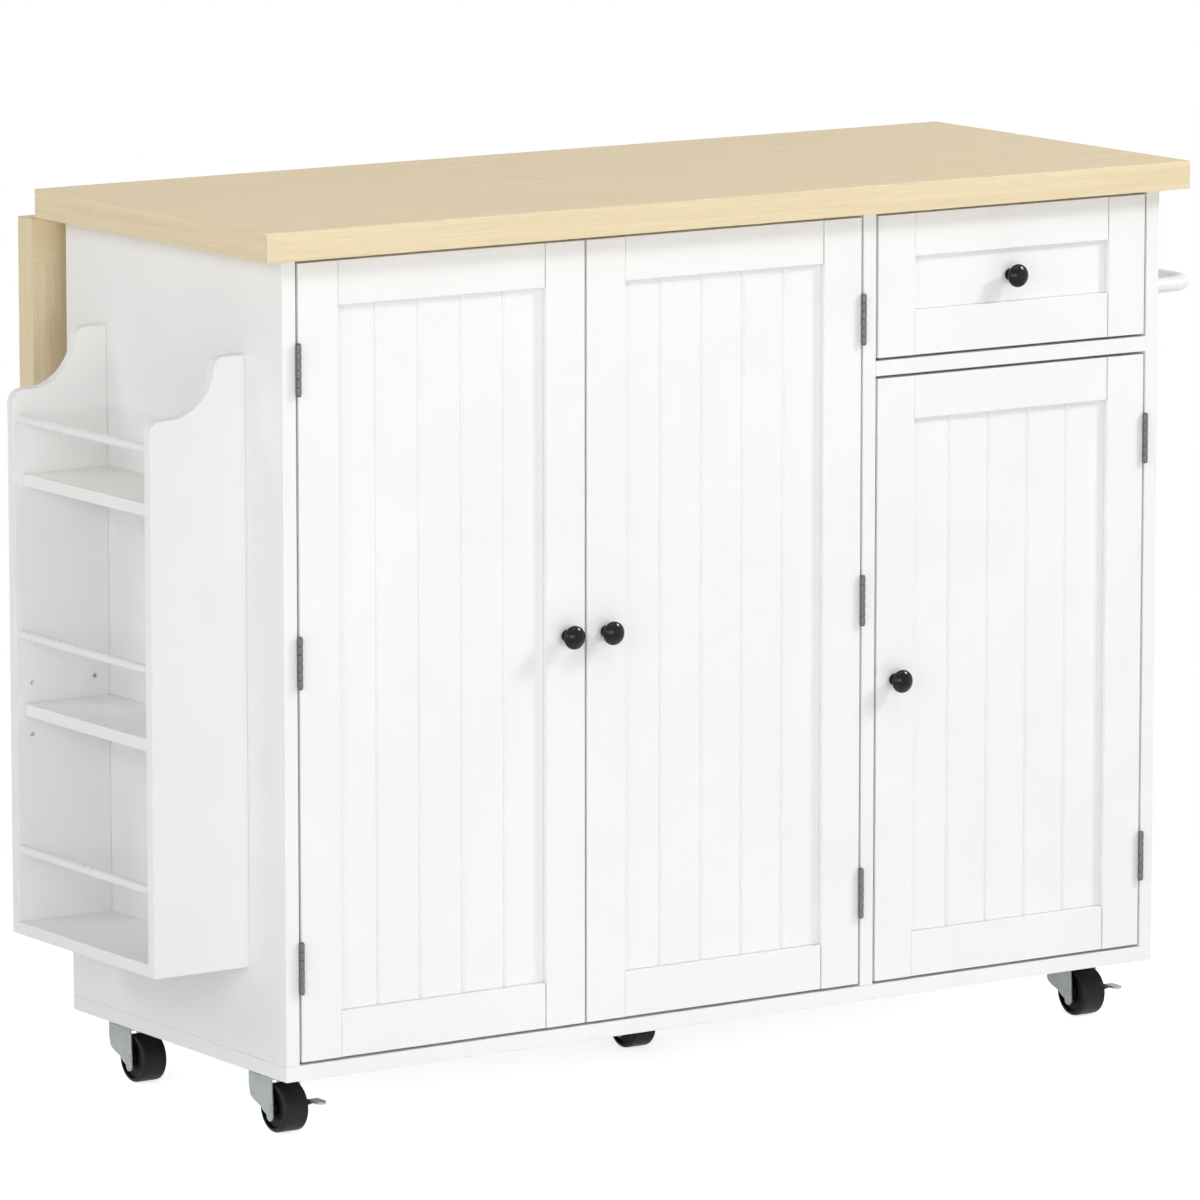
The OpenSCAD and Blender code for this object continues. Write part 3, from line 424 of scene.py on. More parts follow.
def joined_boards(solids, cuts=()):
    """One closed mesh of the boards together, less the cuts"""
    every = (*solids, *cuts)
    grid = [sorted({round(corner[i], 6) for board in every for corner in board}) for i in range(3)]
    counts = [len(line) - 1 for line in grid]
    full = np.zeros(counts, bool)

    def cells(board):
        return tuple(
            slice(grid[i].index(round(board[0][i], 6)), grid[i].index(round(board[1][i], 6)))
            for i in range(3)
        )

    for board in solids:
        full[cells(board)] = True
    for board in cuts:
        full[cells(board)] = False
    bm = bmesh.new()
    corners = {}

    def corner(index):
        if index not in corners:
            corners[index] = bm.verts.new([grid[i][index[i]] for i in range(3)])
        return corners[index]

    for cell in zip(*np.nonzero(full)):
        for axis in range(3):
            for side in (0, 1):
                beside = list(cell)
                beside[axis] += 2 * side - 1
                inside = 0 <= beside[axis] < counts[axis]
                if inside and full[tuple(beside)]:
                    continue
                u, v = (axis + 1) % 3, (axis + 2) % 3
                quad = []
                for du, dv in ((0, 0), (1, 0), (1, 1), (0, 1)):
                    index = list(cell)
                    index[axis] += side
                    index[u] += du
                    index[v] += dv
                    quad.append(corner(tuple(index)))
                bm.faces.new(quad if side else quad[::-1])
    bmesh.ops.dissolve_limit(bm, angle_limit=0.01, verts=bm.verts, edges=bm.edges)
    return bm


def loose_boards(boards, arris):
    """Boards that only touch, each with its cuts and its own eased edges"""
    whole = bmesh.new()
    for solids, cuts in boards:
        add_to(whole, ease(joined_boards(solids, cuts), arris))
    return whole


def add_to(whole, bm):
    mesh = mesh_of("part", bm)
    whole.from_mesh(mesh)
    bpy.data.meshes.remove(mesh)


def ease(bm, width, segments=2, sharp=35.0, keep=None):
    """Rounds the outer edges and marks what is rounded, for the wear in the finish"""
    mark = bm.faces.layers.float.get("arris") or bm.faces.layers.float.new("arris")
    bm.normal_update()
    edges = [
        e for e in bm.edges
        if len(e.link_faces) == 2 and e.is_convex and e.calc_face_angle(0.0) > math.radians(sharp)
        and (keep is None or not keep(e))
    ]
    if not edges or width <= 0:
        return bm
    made = bmesh.ops.bevel(
        bm, geom=edges, offset=width, offset_type="OFFSET", segments=segments,
        profile=0.5, affect="EDGES", clamp_overlap=False, miter_outer="SHARP", material=-1,
    )
    for face in made["faces"]:
        face[mark] = 1.0
    return bm


def same_order(bm):
    """Puts the faces in the same order each run, which a bisection doesn't do"""
    bm.verts.index_update()
    ranked = sorted(bm.faces, key=lambda face: sorted(vert.index for vert in face.verts))
    for rank, face in enumerate(ranked):
        face.index = rank
    bm.faces.sort()


def lathe(profile, centre, axis, sides):
    """A turned form: profile is (along the axis, radius), from end to end"""
    bm = bmesh.new()
    turn = Z.rotation_difference(axis).to_matrix()
    rings = []
    for along, radius in profile:
        if radius < NEAR:
            rings.append([bm.verts.new(centre + turn @ Vector((0, 0, along)))])
            continue
        rings.append([
            bm.verts.new(centre + turn @ Vector((
                radius * math.cos(2 * math.pi * i / sides),
                radius * math.sin(2 * math.pi * i / sides), along)))
            for i in range(sides)
        ])
    for a, b in zip(rings, rings[1:]):
        for i in range(sides):
            j = (i + 1) % sides
            if len(a) == 1 and len(b) > 1:
                bm.faces.new((a[0], b[j], b[i]))
            elif len(b) == 1 and len(a) > 1:
                bm.faces.new((a[i], a[j], b[0]))
            elif len(a) > 1:
                bm.faces.new((a[i], a[j], b[j], b[i]))
    for ring in (rings[0], rings[-1]):
        if len(ring) > 1:
            bm.faces.new(ring)
    bmesh.ops.recalc_face_normals(bm, faces=bm.faces)
    return bm


def settle(obj):
    """Replaces an object's mesh with what its modifiers make of it"""
    graph = bpy.context.evaluated_depsgraph_get()
    mesh = bpy.data.meshes.new_from_object(obj.evaluated_get(graph))
    obj.modifiers.clear()
    old, obj.data = obj.data, mesh
    mesh.name = obj.name
    if not old.users:
        bpy.data.meshes.remove(old)
    return obj


def shade_round(mesh, degrees=50.0):
    """Smooth shading over all but the real edges"""
    mesh.shade_smooth()
    mesh.set_sharp_from_angle(angle=math.radians(degrees))


def make_piece(name, bm, body, finishes, stands_for=(), chooser=None):
    """A finished piece of the island, which rides on a body of the frame"""
    if chooser:
        for face in bm.faces:
            face.material_index = chooser(face)
    mesh = mesh_of(name, bm)
    for each in finishes:
        mesh.materials.append(finish(each))
    shade_round(mesh)
    obj = new_object(name, mesh)
    obj.modifiers.new("even_flats", "WEIGHTED_NORMAL").keep_sharp = True
    mount(settle(obj), body, stands_for)


def mount(obj, body, stands_for=()):
    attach(obj, body)
    if stands_for:
        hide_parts(*stands_for)


def body_of(node):
    for name, members in frame["record"]["behaviour"]["bodies"].items():
        if node in members:
            return name
    raise KeyError(node)


def dressed(node, finishes, arris, segments=2, chooser=None, sharp=35.0, keep=None):
    """A node's own shape with eased edges and its finish"""
    bm = ease(cad_copy(node), arris, segments, sharp, keep)
    make_piece(node + "_finished", bm, body_of(node), finishes, (node,), chooser)


# ---- Geometry node trees for what repeats ----


def new_tree(name, inputs):
    tree = bpy.data.node_groups.new(name, "GeometryNodeTree")
    for label, kind in inputs:
        tree.interface.new_socket(label, in_out="INPUT", socket_type="NodeSocket" + kind)
    tree.interface.new_socket("Result", in_out="OUTPUT", socket_type="NodeSocketGeometry")
    return tree


def ended(tree, geometry, coat):
    """Ends a tree: what it has made, without instances and with its finish"""
    real = knot(tree, "GeometryNodeRealizeInstances", Geometry=geometry)
    coated = knot(tree, "GeometryNodeSetMaterial", Geometry=real.outputs[0], Material=coat)
    knot(tree, "NodeGroupOutput", Result=coated.outputs[0])
    return tree


def repeat_tree():
    """Puts a piece on every point, turned to the point's facing"""
    tree = bpy.data.node_groups.get("piece_on_points")
    if tree:
        return tree
    tree = new_tree("piece_on_points", (
        ("Points", "Geometry"), ("Piece", "Object"), ("Size", "Float"),
        ("Turn", "Float"), ("Seed", "Int"), ("Finish", "Material")))
    ins = knot(tree, "NodeGroupInput").outputs
    piece = knot(tree, "GeometryNodeObjectInfo", Object=ins["Piece"])
    facing = knot(tree, "GeometryNodeInputNamedAttribute", {"data_type": "FLOAT_VECTOR"},
                  Name="facing")
    aim = knot(tree, "FunctionNodeAlignRotationToVector", {"axis": "Z"},
               Vector=facing.outputs["Attribute"])
    chance = knot(tree, "FunctionNodeRandomValue", {"data_type": "FLOAT"}, Seed=ins["Seed"])
    angle = knot(tree, "ShaderNodeMath", {"operation": "MULTIPLY"},
                 i0=chance.outputs[1], i1=ins["Turn"])
    spin = knot(tree, "FunctionNodeAxisAngleToRotation", Axis=(0, 0, 1), Angle=angle.outputs[0])
    turned = knot(tree, "FunctionNodeRotateRotation", {"rotation_space": "LOCAL"},
                  Rotation=aim.outputs[0], Rotate_By=spin.outputs[0])
    placed = knot(tree, "GeometryNodeInstanceOnPoints", Points=ins["Points"],
                  Instance=piece.outputs["Geometry"], Rotation=turned.outputs[0],
                  Scale=ins["Size"])
    return ended(tree, placed.outputs[0], ins["Finish"])


def bead_tree():
    """A panel with V grooves between its boards, front at y = 0, from x = 0 and z = 0"""
    tree = bpy.data.node_groups.get("bead_panel")
    if tree:
        return tree
    tree = new_tree("bead_panel", (
        ("Start", "Geometry"), ("Width", "Float"), ("Height", "Float"), ("Thickness", "Float"),
        ("Pitch", "Float"), ("Depth", "Float"), ("Half width", "Float"), ("Columns", "Int"),
        ("Outermost", "Float"), ("Finish", "Material")))
    ins = knot(tree, "NodeGroupInput").outputs

    def math_node(operation, a, b=0.0):
        return knot(tree, "ShaderNodeMath", {"operation": operation}, i0=a, i1=b).outputs[0]

    sheet = knot(tree, "GeometryNodeMeshGrid", Size_X=ins["Width"], Size_Y=ins["Height"],
                 Vertices_X=ins["Columns"], Vertices_Y=2)
    place = knot(tree, "GeometryNodeInputPosition").outputs[0]
    place = knot(tree, "ShaderNodeSeparateXYZ", Vector=place).outputs
    # distance from the nearest groove: grooves lie half a pitch off the middle
    half_pitch = math_node("MULTIPLY", ins["Pitch"], 0.5)
    folded = math_node("PINGPONG", math_node("ADD", place["X"], half_pitch), half_pitch)
    beyond = math_node("GREATER_THAN", math_node("ABSOLUTE", place["X"]), ins["Outermost"])
    near = knot(tree, "ShaderNodeMapRange", {"interpolation_type": "SMOOTHSTEP"}, Value=folded,
                From_Min=0.0, From_Max=ins["Half width"], To_Min=1.0, To_Max=0.0).outputs[0]
    sunk = math_node("MULTIPLY", math_node("MULTIPLY", near, ins["Depth"]),
                     math_node("SUBTRACT", 1.0, beyond))
    upright = knot(tree, "ShaderNodeCombineXYZ",
                   X=math_node("ADD", place["X"], math_node("MULTIPLY", ins["Width"], 0.5)),
                   Y=sunk,
                   Z=math_node("ADD", place["Y"], math_node("MULTIPLY", ins["Height"], 0.5)))
    front = knot(tree, "GeometryNodeSetPosition", Geometry=sheet.outputs["Mesh"],
                 Position=upright.outputs[0])
    away = knot(tree, "ShaderNodeCombineXYZ", X=0.0, Y=1.0, Z=0.0)
    thick = knot(tree, "GeometryNodeExtrudeMesh", {"mode": "FACES"}, Mesh=front.outputs[0],
                 Offset=away.outputs[0], Offset_Scale=ins["Thickness"], Individual=False)
    # the back is flat again: what the grooves sank is taken off behind them
    flat_back = knot(tree, "ShaderNodeCombineXYZ", X=place["X"], Y=ins["Thickness"], Z=place["Z"])
    squared = knot(tree, "GeometryNodeSetPosition", Geometry=thick.outputs["Mesh"],
                   Selection=thick.outputs["Top"], Position=flat_back.outputs[0])
    turned = knot(tree, "GeometryNodeFlipFaces", Mesh=squared.outputs[0])
    both = knot(tree, "GeometryNodeJoinGeometry")
    tree.links.new(front.outputs[0], both.inputs[0])
    tree.links.new(turned.outputs[0], both.inputs[0])
    closed = knot(tree, "GeometryNodeMergeByDistance", Geometry=both.outputs[0], Distance=NEAR)
    return ended(tree, closed.outputs[0], ins["Finish"])


def grow(name, start, tree, values):
    """Runs a tree on a start mesh and keeps the plain mesh that it makes"""
    obj = new_object(name, start)
    modifier = obj.modifiers.new(tree.name, "NODES")
    modifier.node_group = tree
    sockets = {each.name: each.identifier for each in tree.interface.items_tree
               if each.item_type == "SOCKET" and each.in_out == "INPUT"}
    for key, value in values.items():
        modifier[sockets[key]] = value
    return settle(obj)


def scatter(name, body, points, shape):
    """One mesh of the same small steel piece at many points: (place, facing) each"""
    start = bpy.data.meshes.new(name + "_points")
    start.from_pydata([tuple(p) for p, _ in points], [], [])
    facing = start.attributes.new("facing", "FLOAT_VECTOR", "POINT")
    facing.data.foreach_set("vector", [c for _, n in points for c in n])
    mesh = mesh_of(name + "_shape", shape)
    shade_round(mesh, 45.0)
    pattern = new_object(name + "_shape", mesh)
    obj = grow(name, start, repeat_tree(), {
        "Piece": pattern, "Size": 1.0, "Turn": 2 * math.pi, "Seed": 7, "Finish": finish("bright")})
    bpy.data.objects.remove(pattern)
    bpy.data.meshes.remove(mesh)
    mount(obj, body)


def screw_shape(diameter, height, deep):
    """Head with a cross recess, its seat at z = 0; the recess goes deep down from the top"""
    r = diameter / 2
    foot = min(-0.2 * MM, height - deep - 0.4 * MM)
    head = lathe([(foot, 0.0), (foot, r * 0.9), (0.0, r), (height * 0.35, r),
                  (height * 0.75, r * 0.88), (height, r * 0.62), (height * 1.04, r * 0.30),
                  (height * 1.05, 0.0)], Vector(), Z, 20)
    arm, width, top = r * 0.55, r * 0.13, height * 1.1 + 0.1 * MM
    cross = joined_boards((
        ((-arm, -width, height - deep), (arm, width, top)),
        ((-width, -arm, height - deep), (width, arm, top))))
    solid, cut = (new_object("screw", mesh_of("screw", bm)) for bm in (head, cross))
    sink = solid.modifiers.new("recess", "BOOLEAN")
    sink.object, sink.operation, sink.solver = cut, "DIFFERENCE", "EXACT"
    settle(solid)
    made = bmesh.new()
    made.from_mesh(solid.data)
    for each in (solid, cut):
        mesh = each.data
        bpy.data.objects.remove(each)
        bpy.data.meshes.remove(mesh)
    return made


# ---- The pieces ----


def on_end(face):
    """Whether a face of a slab shows the ends of its boards, which run along x"""
    return abs(face.normal.x) > 0.72


def wood_of_slab(face):
    """Darker boards on top, paler bands on the long edges, crosswise grain on the ends"""
    if on_end(face):
        return 1
    return 2 if face.normal.z > 0.9 else 0


def build_worktop():
    low, high = box_of("worktop_panel")
    strip_low, strip_high = box_of("worktop_border")
    w = sizes().strip_width
    cross = sum(corner[0] for corner in box_of("divider_panel")) / 2
    x0, y0, z0 = strip_low
    x1, y1, z1 = strip_high
    strips = (
        ((x0, y0, z0), (x1, y0 + w, z1)),
        ((x0, y1 - w, z0), (x1, y1, z1)),
        ((x0, y0 + w, z0), (x0 + w, y1 - w, z1)),
        ((x1 - w, y0 + w, z0), (x1, y1 - w, z1)),
        ((cross - w / 2, y0 + w, z0), (cross + w / 2, y1 - w, z1)),
    )
    bm = ease(joined_boards(((low, high), *strips)), sizes().top_arris, 3)
    # the top face takes its tint of its own, which is painted light
    make_piece("worktop_slab", bm, "cabinet", ("wood_x", "wood_y", "top_painted_light_x"),
               ("worktop_panel", "worktop_border"), wood_of_slab)


def build_leaf():
    low, high = box_of("leaf_panel")
    strip_low, strip_high = box_of("leaf_border")
    w, line = sizes().strip_width, sizes().joint_width / 2
    x0, y0, z0 = strip_low
    x1, y1, z1 = strip_high
    strips = (
        ((x0, y0, z1 - w), (x1, y1, z1)),
        ((x0, y0, z0), (x1, y1, z0 + w)),
        ((x0, y0, z0 + w), (x0 + w, y1, z1 - w)),
        ((x1 - w, y0, z0 + w), (x1, y1, z1 - w)),
    )
    lines = [
        ((a, y0, z - line), (b, y0 + 2 * line, z + line))
        for z in (z1 - w, z0 + w) for a, b in ((x0, x0 + w), (x1 - w, x1))
    ]
    bm = joined_boards(((low, high), *strips), lines)
    ease(bm, sizes().top_arris, 3, keep=lambda e: any(
        a[0] - NEAR <= v.co.x <= b[0] + NEAR and v.co.y <= b[1] + NEAR
        and a[2] - NEAR <= v.co.z <= b[2] + NEAR for v in e.verts for a, b in lines))

    def grain(face):
        """The upright strips on the leaf's inside have upright grain"""
        middle = face.calc_center_median()
        aside = x0 + w > middle.x or x1 - w < middle.x
        on_inside = middle.y < y0 + 1.5 * MM and z0 + w < middle.z < z1 - w
        return 1 if on_end(face) or (on_inside and aside) else 0

    make_piece("leaf_slab", bm, "leaf", ("wood_x", "wood_z"),
               ("leaf_panel", "leaf_border"), grain)


def build_cabinet():
    for node in ("side_panel_left", "side_panel_right", "divider_panel", "base_panel",
                 "back_panel", "drawer_rail", "top_rails", "cabinet_shelves"):
        dressed(node, ("paint",), sizes().board_arris)


def grooved(board, slot):
    """A board and, as its cut, as much of a slot for a panel as lies in it"""
    low = tuple(max(a, b) for a, b in zip(board[0], slot[0]))
    high = tuple(min(a, b) for a, b in zip(board[1], slot[1]))
    return ((board,), ((low, high),))


def front_boards(node):
    """Two stiles and two rails round the panel, each grooved for it"""
    (x0, y0, z0), (x1, y1, z1) = box_of(node)
    panel = node.replace("_frame", "_panel") if "_frame" in node else "drawer_front_panel"
    low, high = box_of(panel)
    w, top, back = sizes().stile_width, sizes().top_rail_width, sizes().rail_in
    left, right = x0 + w + sizes().joint_gap, x1 - w - sizes().joint_gap
    slot = ((low[0] - SLACK, low[1] - SLACK / 2, low[2] - SLACK),
            (high[0] + SLACK, high[1] + SLACK / 2, high[2] + SLACK))
    return [grooved(board, slot) for board in (
        ((x0, y0, z0), (x0 + w, y1, z1)),
        ((x1 - w, y0, z0), (x1, y1, z1)),
        ((left, y0 + back, z0), (right, y1, z0 + w)),
        ((left, y0 + back, z1 - top), (right, y1, z1)),
    )]


def cut_edge_groove(bm, low, high, face_y):
    """Sinks a fine V in a panel's face along the four edges of its frame"""
    half, depth = sizes().edge_groove / 2, 1.5 * sizes().edge_groove
    x0, x1, z0, z1 = low[0] + half, high[0] - half, low[1] + half, high[1] - half
    for across, middle in ((X, x0), (X, x1), (Z, z0), (Z, z1)):
        for step in (-half, 0.0, half):
            bmesh.ops.bisect_plane(bm, geom=[*bm.verts, *bm.edges, *bm.faces], dist=1e-7,
                                   plane_co=across * (middle + step), plane_no=across)
    same_order(bm)
    for vert in bm.verts:
        x, y, z = vert.co
        inside = x0 - NEAR < x < x1 + NEAR and z0 - NEAR < z < z1 + NEAR
        on_line = min(abs(x - x0), abs(x - x1), abs(z - z0), abs(z - z1)) < NEAR
        if inside and on_line and y < face_y + 3 * MM:
            vert.co.y = max(y, face_y + depth)


def opening(node):
    """The low and high corner, in x and z, of what a door's or drawer's frame leaves free"""
    (x0, _, z0), (x1, _, z1) = box_of(node)
    w = sizes().stile_width
    return (x0 + w, z0 + w), (x1 - w, z1 - sizes().top_rail_width)


def build_doors():
    tree = bead_tree()
    for door in DOORS:
        frame_node, panel_node = f"door_{door}_frame", f"door_{door}_panel"
        bm = loose_boards(front_boards(frame_node), sizes().front_arris)
        make_piece(frame_node + "_boards", bm, "door_" + door, ("paint",),
                   (frame_node,))
        low, high = (Vector(c) for c in box_of(panel_node))
        start = bpy.data.meshes.new(panel_node + "_start")
        panel = grow(panel_node + "_beads", start, tree, {
            "Width": high.x - low.x, "Height": high.z - low.z, "Thickness": high.y - low.y,
            "Pitch": sizes().board_pitch, "Depth": sizes().groove_depth,
            "Half width": sizes().groove_half, "Columns": 801,
            "Outermost": 1.7 * sizes().board_pitch, "Finish": finish("paint")})
        panel.data.transform(Matrix.Translation(low))
        bm = bmesh.new()
        bm.from_mesh(panel.data)
        cut_edge_groove(bm, *opening(frame_node), low.y)
        bm.to_mesh(panel.data)
        bm.free()
        shade_round(panel.data)
        mount(panel, "door_" + door, (panel_node,))


def build_drawer():
    bm = loose_boards(front_boards("drawer_front"), sizes().front_arris)
    make_piece("drawer_front_boards", bm, "drawer", ("paint",), ("drawer_front",))
    bm = ease(cad_copy("drawer_front_panel"), 0.2 * MM)
    cut_edge_groove(bm, *opening("drawer_front"), box_of("drawer_front_panel")[0][1])
    make_piece("drawer_front_panel_board", bm, "drawer", ("paint",),
               ("drawer_front_panel",))
    (x0, y0, z0), (x1, y1, z1) = box_of("drawer_box")
    low, high = box_of("drawer_bottom")
    thick = 12 * MM
    slot = ((low[0] - SLACK, low[1] - SLACK, low[2]), (high[0] + SLACK, high[1] + SLACK, high[2]))
    inner_left, inner_right = x0 + thick, x1 - thick
    walls = [grooved(board, slot) for board in (
        ((x0, y0, z0), (inner_left, y1, z1)),
        ((inner_right, y0, z0), (x1, y1, z1)),
        ((inner_left, y0, z0), (inner_right, y0 + thick, z1)),
        ((inner_left, y1 - thick, z0), (inner_right, y1, z1)),
    )]
    make_piece("drawer_box_boards", loose_boards(walls, 0.5 * MM), "drawer",
               ("birch_x", "birch_y"), ("drawer_box",),
               lambda face: int(not inner_left <= face.calc_center_median().x <= inner_right))
    dressed("drawer_bottom", ("paint",), 0.0)


def build_knobs():
    for owner in KNOBBED:
        dressed(owner + "_knob", ("knob",), 0.5 * MM, sharp=50.0)


def build_rack():
    thick = box_of("rack_side_front")[1][1] - box_of("rack_side_front")[0][1]

    def bore_rim(edge):
        """A blind hole's wall is shorter than the board is thick"""
        for face in edge.link_faces:
            reach = [v.co.y for v in face.verts]
            if abs(face.normal.y) < 0.5 and max(reach) - min(reach) < 0.8 * thick:
                return True
        return False

    for node in ("rack_side_front", "rack_side_back"):
        dressed(node, ("paint",), sizes().rack_arris, 3, sharp=60.0, keep=bore_rim)
    for node in ("rack_shelf_upper", "rack_shelf_middle", "rack_shelf_bottom"):
        dressed(node, ("paint",), sizes().board_arris)
    bm = bmesh.new()
    for low, high in solids_of("rack_rods"):
        radius = (high[0] - low[0]) / 2
        middle = (Vector(low) + Vector(high)) / 2
        turn = Matrix.Rotation(math.radians(90), 4, "X")
        bmesh.ops.create_cone(bm, cap_ends=True, segments=40, radius1=radius, radius2=radius,
                              depth=high[1] - low[1], matrix=Matrix.Translation(middle) @ turn)
    make_piece("rack_rods_round", ease(bm, 0.3 * MM), "cabinet",
               ("steel_paint",), ("rack_rods",))
    dressed("shelf_pins", ("bright",), 0.4 * MM)


def build_towel_bar():
    dressed("towel_bar", ("steel_paint",), 0.0)


def build_hinges():
    dressed("hinge_leaves_cabinet", ("pewter",), sizes().knuckle_arris)
    dressed("hinge_pins", ("pewter",), 0.3 * MM)
    for door in DOORS:
        dressed(f"door_{door}_hardware", ("pewter",), sizes().knuckle_arris)


def build_leaf_support():
    for node in ("leaf_hinge_leaves_top", "leaf_hinge_leaves"):
        dressed(node, ("pewter",), sizes().metal_arris, 1)
    dressed("prop_brackets", ("steel_paint",), 0.4 * MM)
    dressed("prop_saddles", ("white_plastic",), 0.4 * MM)
    # the prop's legs have upright grain, the rail between them lies
    bm = ease(cad_copy("leaf_prop"), 0.8 * MM)
    low, high = box_of("leaf_prop")
    inner = (low[0] + PROP_LEG, high[0] - PROP_LEG)
    for x in inner:
        bmesh.ops.bisect_plane(bm, geom=[*bm.verts, *bm.edges, *bm.faces],
                               plane_co=(x, 0.0, 0.0), plane_no=X)
    same_order(bm)
    make_piece("leaf_prop_finished", bm, "prop", ("wood_z", "wood_x"), ("leaf_prop",),
               lambda face: int(inner[0] < face.calc_center_median().x < inner[1]))


def build_fittings():
    dressed("magnetic_catches", ("white_plastic",), 0.8 * MM)
    for node in ("drawer_runners_cabinet", "drawer_runner_members"):
        dressed(node, ("steel_paint",), 0.2 * MM, 1)


def build_casters():
    dressed("caster_plates", ("zinc",), 0.4 * MM)
    for place in CASTERS:
        dressed("caster_fork_" + place, ("zinc",), 0.35 * MM)
        low, high = box_of("caster_wheel_" + place)
        centre = anchor((low, high), "mmm")
        inner = (high[2] - low[2]) / 2 - 4.0 * MM

        def on_side(face):
            """The wheel's sides within its rim are the hub's darker plastic"""
            off = face.calc_center_median() - centre
            return int(math.hypot(off.y, off.z) < inner)

        dressed("caster_wheel_" + place, ("tyre", "hub"), 0.4 * MM,
                chooser=on_side)
    for side in ("left", "right"):
        dressed("brake_pedal_" + side, ("zinc",), 0.5 * MM)
    # each swivel race: two rolled lips, and the balls between them
    lips, balls, ball_count = bmesh.new(), [], 30
    for box in solids_of("caster_plates"):
        centre = anchor(box, "mmh")
        centre.z -= 9.0 * MM
        for rise, reach in ((0.05, 22.4), (4.25, 23.2)):
            ring = [(0.0, 0.0), (0.0, reach - 2.2), (0.35, reach - 0.8), (1.1, reach),
                    (1.85, reach - 0.8), (2.2, reach - 2.2), (2.2, 0.0)]
            add_to(lips, lathe([((rise + a) * MM, b * MM) for a, b in ring], centre, Z, 72))
        for i in range(ball_count):
            turn = 2 * math.pi * i / ball_count
            out = Vector((math.cos(turn), math.sin(turn), 0.0))
            balls.append((centre + 21.6 * MM * out + 3.25 * MM * Z, out))
    make_piece("caster_race_lips", lips, "cabinet", ("zinc",))
    ball = bmesh.new()
    bmesh.ops.create_icosphere(ball, subdivisions=2, radius=1.15 * MM)
    scatter("caster_race_balls", "cabinet", balls, ball)


def line(start, end, pitch):
    """Evenly spaced points from start to end, about a pitch apart"""
    steps = max(1, round((end - start).length / pitch))
    return [start.lerp(end, i / steps) for i in range(steps + 1)]


def spots(corner, offsets, facing):
    """Places given in mm from a corner, all facing one way"""
    return [(Vector(corner) + MM * Vector(each), facing) for each in offsets]


def pan_head():
    return screw_shape(sizes().screw_head, 2.0 * MM, 1.2 * MM)


def low_head():
    return screw_shape(0.75 * sizes().screw_head, 1.0 * MM, 0.7 * MM)


def flat_head():
    return screw_shape(0.8 * sizes().screw_head, 0.08 * MM, 0.7 * MM)


def fitting_screws():
    """What has its screws at the same places of each of a node's solids"""
    for name, body, slot, node, start, offsets, facing, shape in (
        ("caster_screws", "cabinet", "zinc", "caster_plates", "mmh",
         [(i * 23, j * 23, -2.5) for i in ENDS for j in ENDS], -Z, pan_head),
        ("bracket_screws", "cabinet", "zinc", "prop_brackets", "mlm",
         [(i * 26, 2, j * 14) for i in ENDS for j in ENDS], Y, low_head),
        ("leaf_hinge_screws_top", "cabinet", "pewter", "leaf_hinge_leaves_top", "mlh",
         [(i * 20, 7, -1.5) for i in (-1, 0, 1)], -Z, flat_head),
        ("leaf_hinge_screws", "leaf", "pewter", "leaf_hinge_leaves", "mhh",
         [(i * 20, -1.5, -z) for i in ENDS for z in (14.4, 30.4)], -Y, flat_head),
        ("catch_screws", "cabinet", "white_plastic", "magnetic_catches", "mml",
         [(i * 12, 2, 0) for i in ENDS], -Z, low_head),
    ):
        points = []
        for box in solids_of(node):
            points += spots(anchor(box, start), offsets, facing)
        scatter(name, body, points, shape())


def back_nails():
    """The back panel is nailed to the rails above and to the divider"""
    low, high = (Vector(c) for c in box_of("back_panel"))
    divider = anchor(box_of("divider_panel"), "mmm").x
    nails = line(Vector((low.x + 0.04, high.y, high.z - 8 * MM)),
                 Vector((high.x - 0.04, high.y, high.z - 8 * MM)), 0.12)
    nails += line(Vector((divider, high.y, low.z + 0.05)),
                  Vector((divider, high.y, high.z - 0.12)), 0.12)
    nail = lathe([(-0.3 * MM, 0.0), (-0.3 * MM, 2.4 * MM), (0.1 * MM, 2.5 * MM),
                  (0.3 * MM, 2.1 * MM), (0.4 * MM, 1.1 * MM), (0.42 * MM, 0.0)], Vector(), Z, 16)
    scatter("back_nails", "cabinet", [(place, Y) for place in nails], nail)


def side_screws():
    """Rack and towel bar are held from inside the cabinet"""
    points = []
    for node in ("rack_side_front", "rack_side_back"):
        place = anchor(box_of(node), "lml")
        place.x = box_of("side_panel_left")[1][0]
        points += spots(place, [(0, 0, z) for z in (60, 220, 515)], X)
    scatter("rack_screws", "cabinet", points, low_head())
    inside = box_of("side_panel_right")[0][0]
    low, high = box_of("towel_bar")
    middle = (low[2] + high[2]) / 2
    half = (high[2] - low[2]) / 2
    points = [(Vector((inside, y, middle)), -X) for y in (low[1] + half, high[1] - half)]
    scatter("towel_bar_screws", "cabinet", points, low_head())


def knob_screws():
    """One from behind in each knob"""
    for name in KNOBBED:
        place = anchor(box_of(name + "_knob"), "mmm")
        place.y = box_of(name + "_frame" if name != "drawer" else "drawer_front_panel")[1][1]
        scatter(name + "_knob_screw", name, [(place, Y)], pan_head())


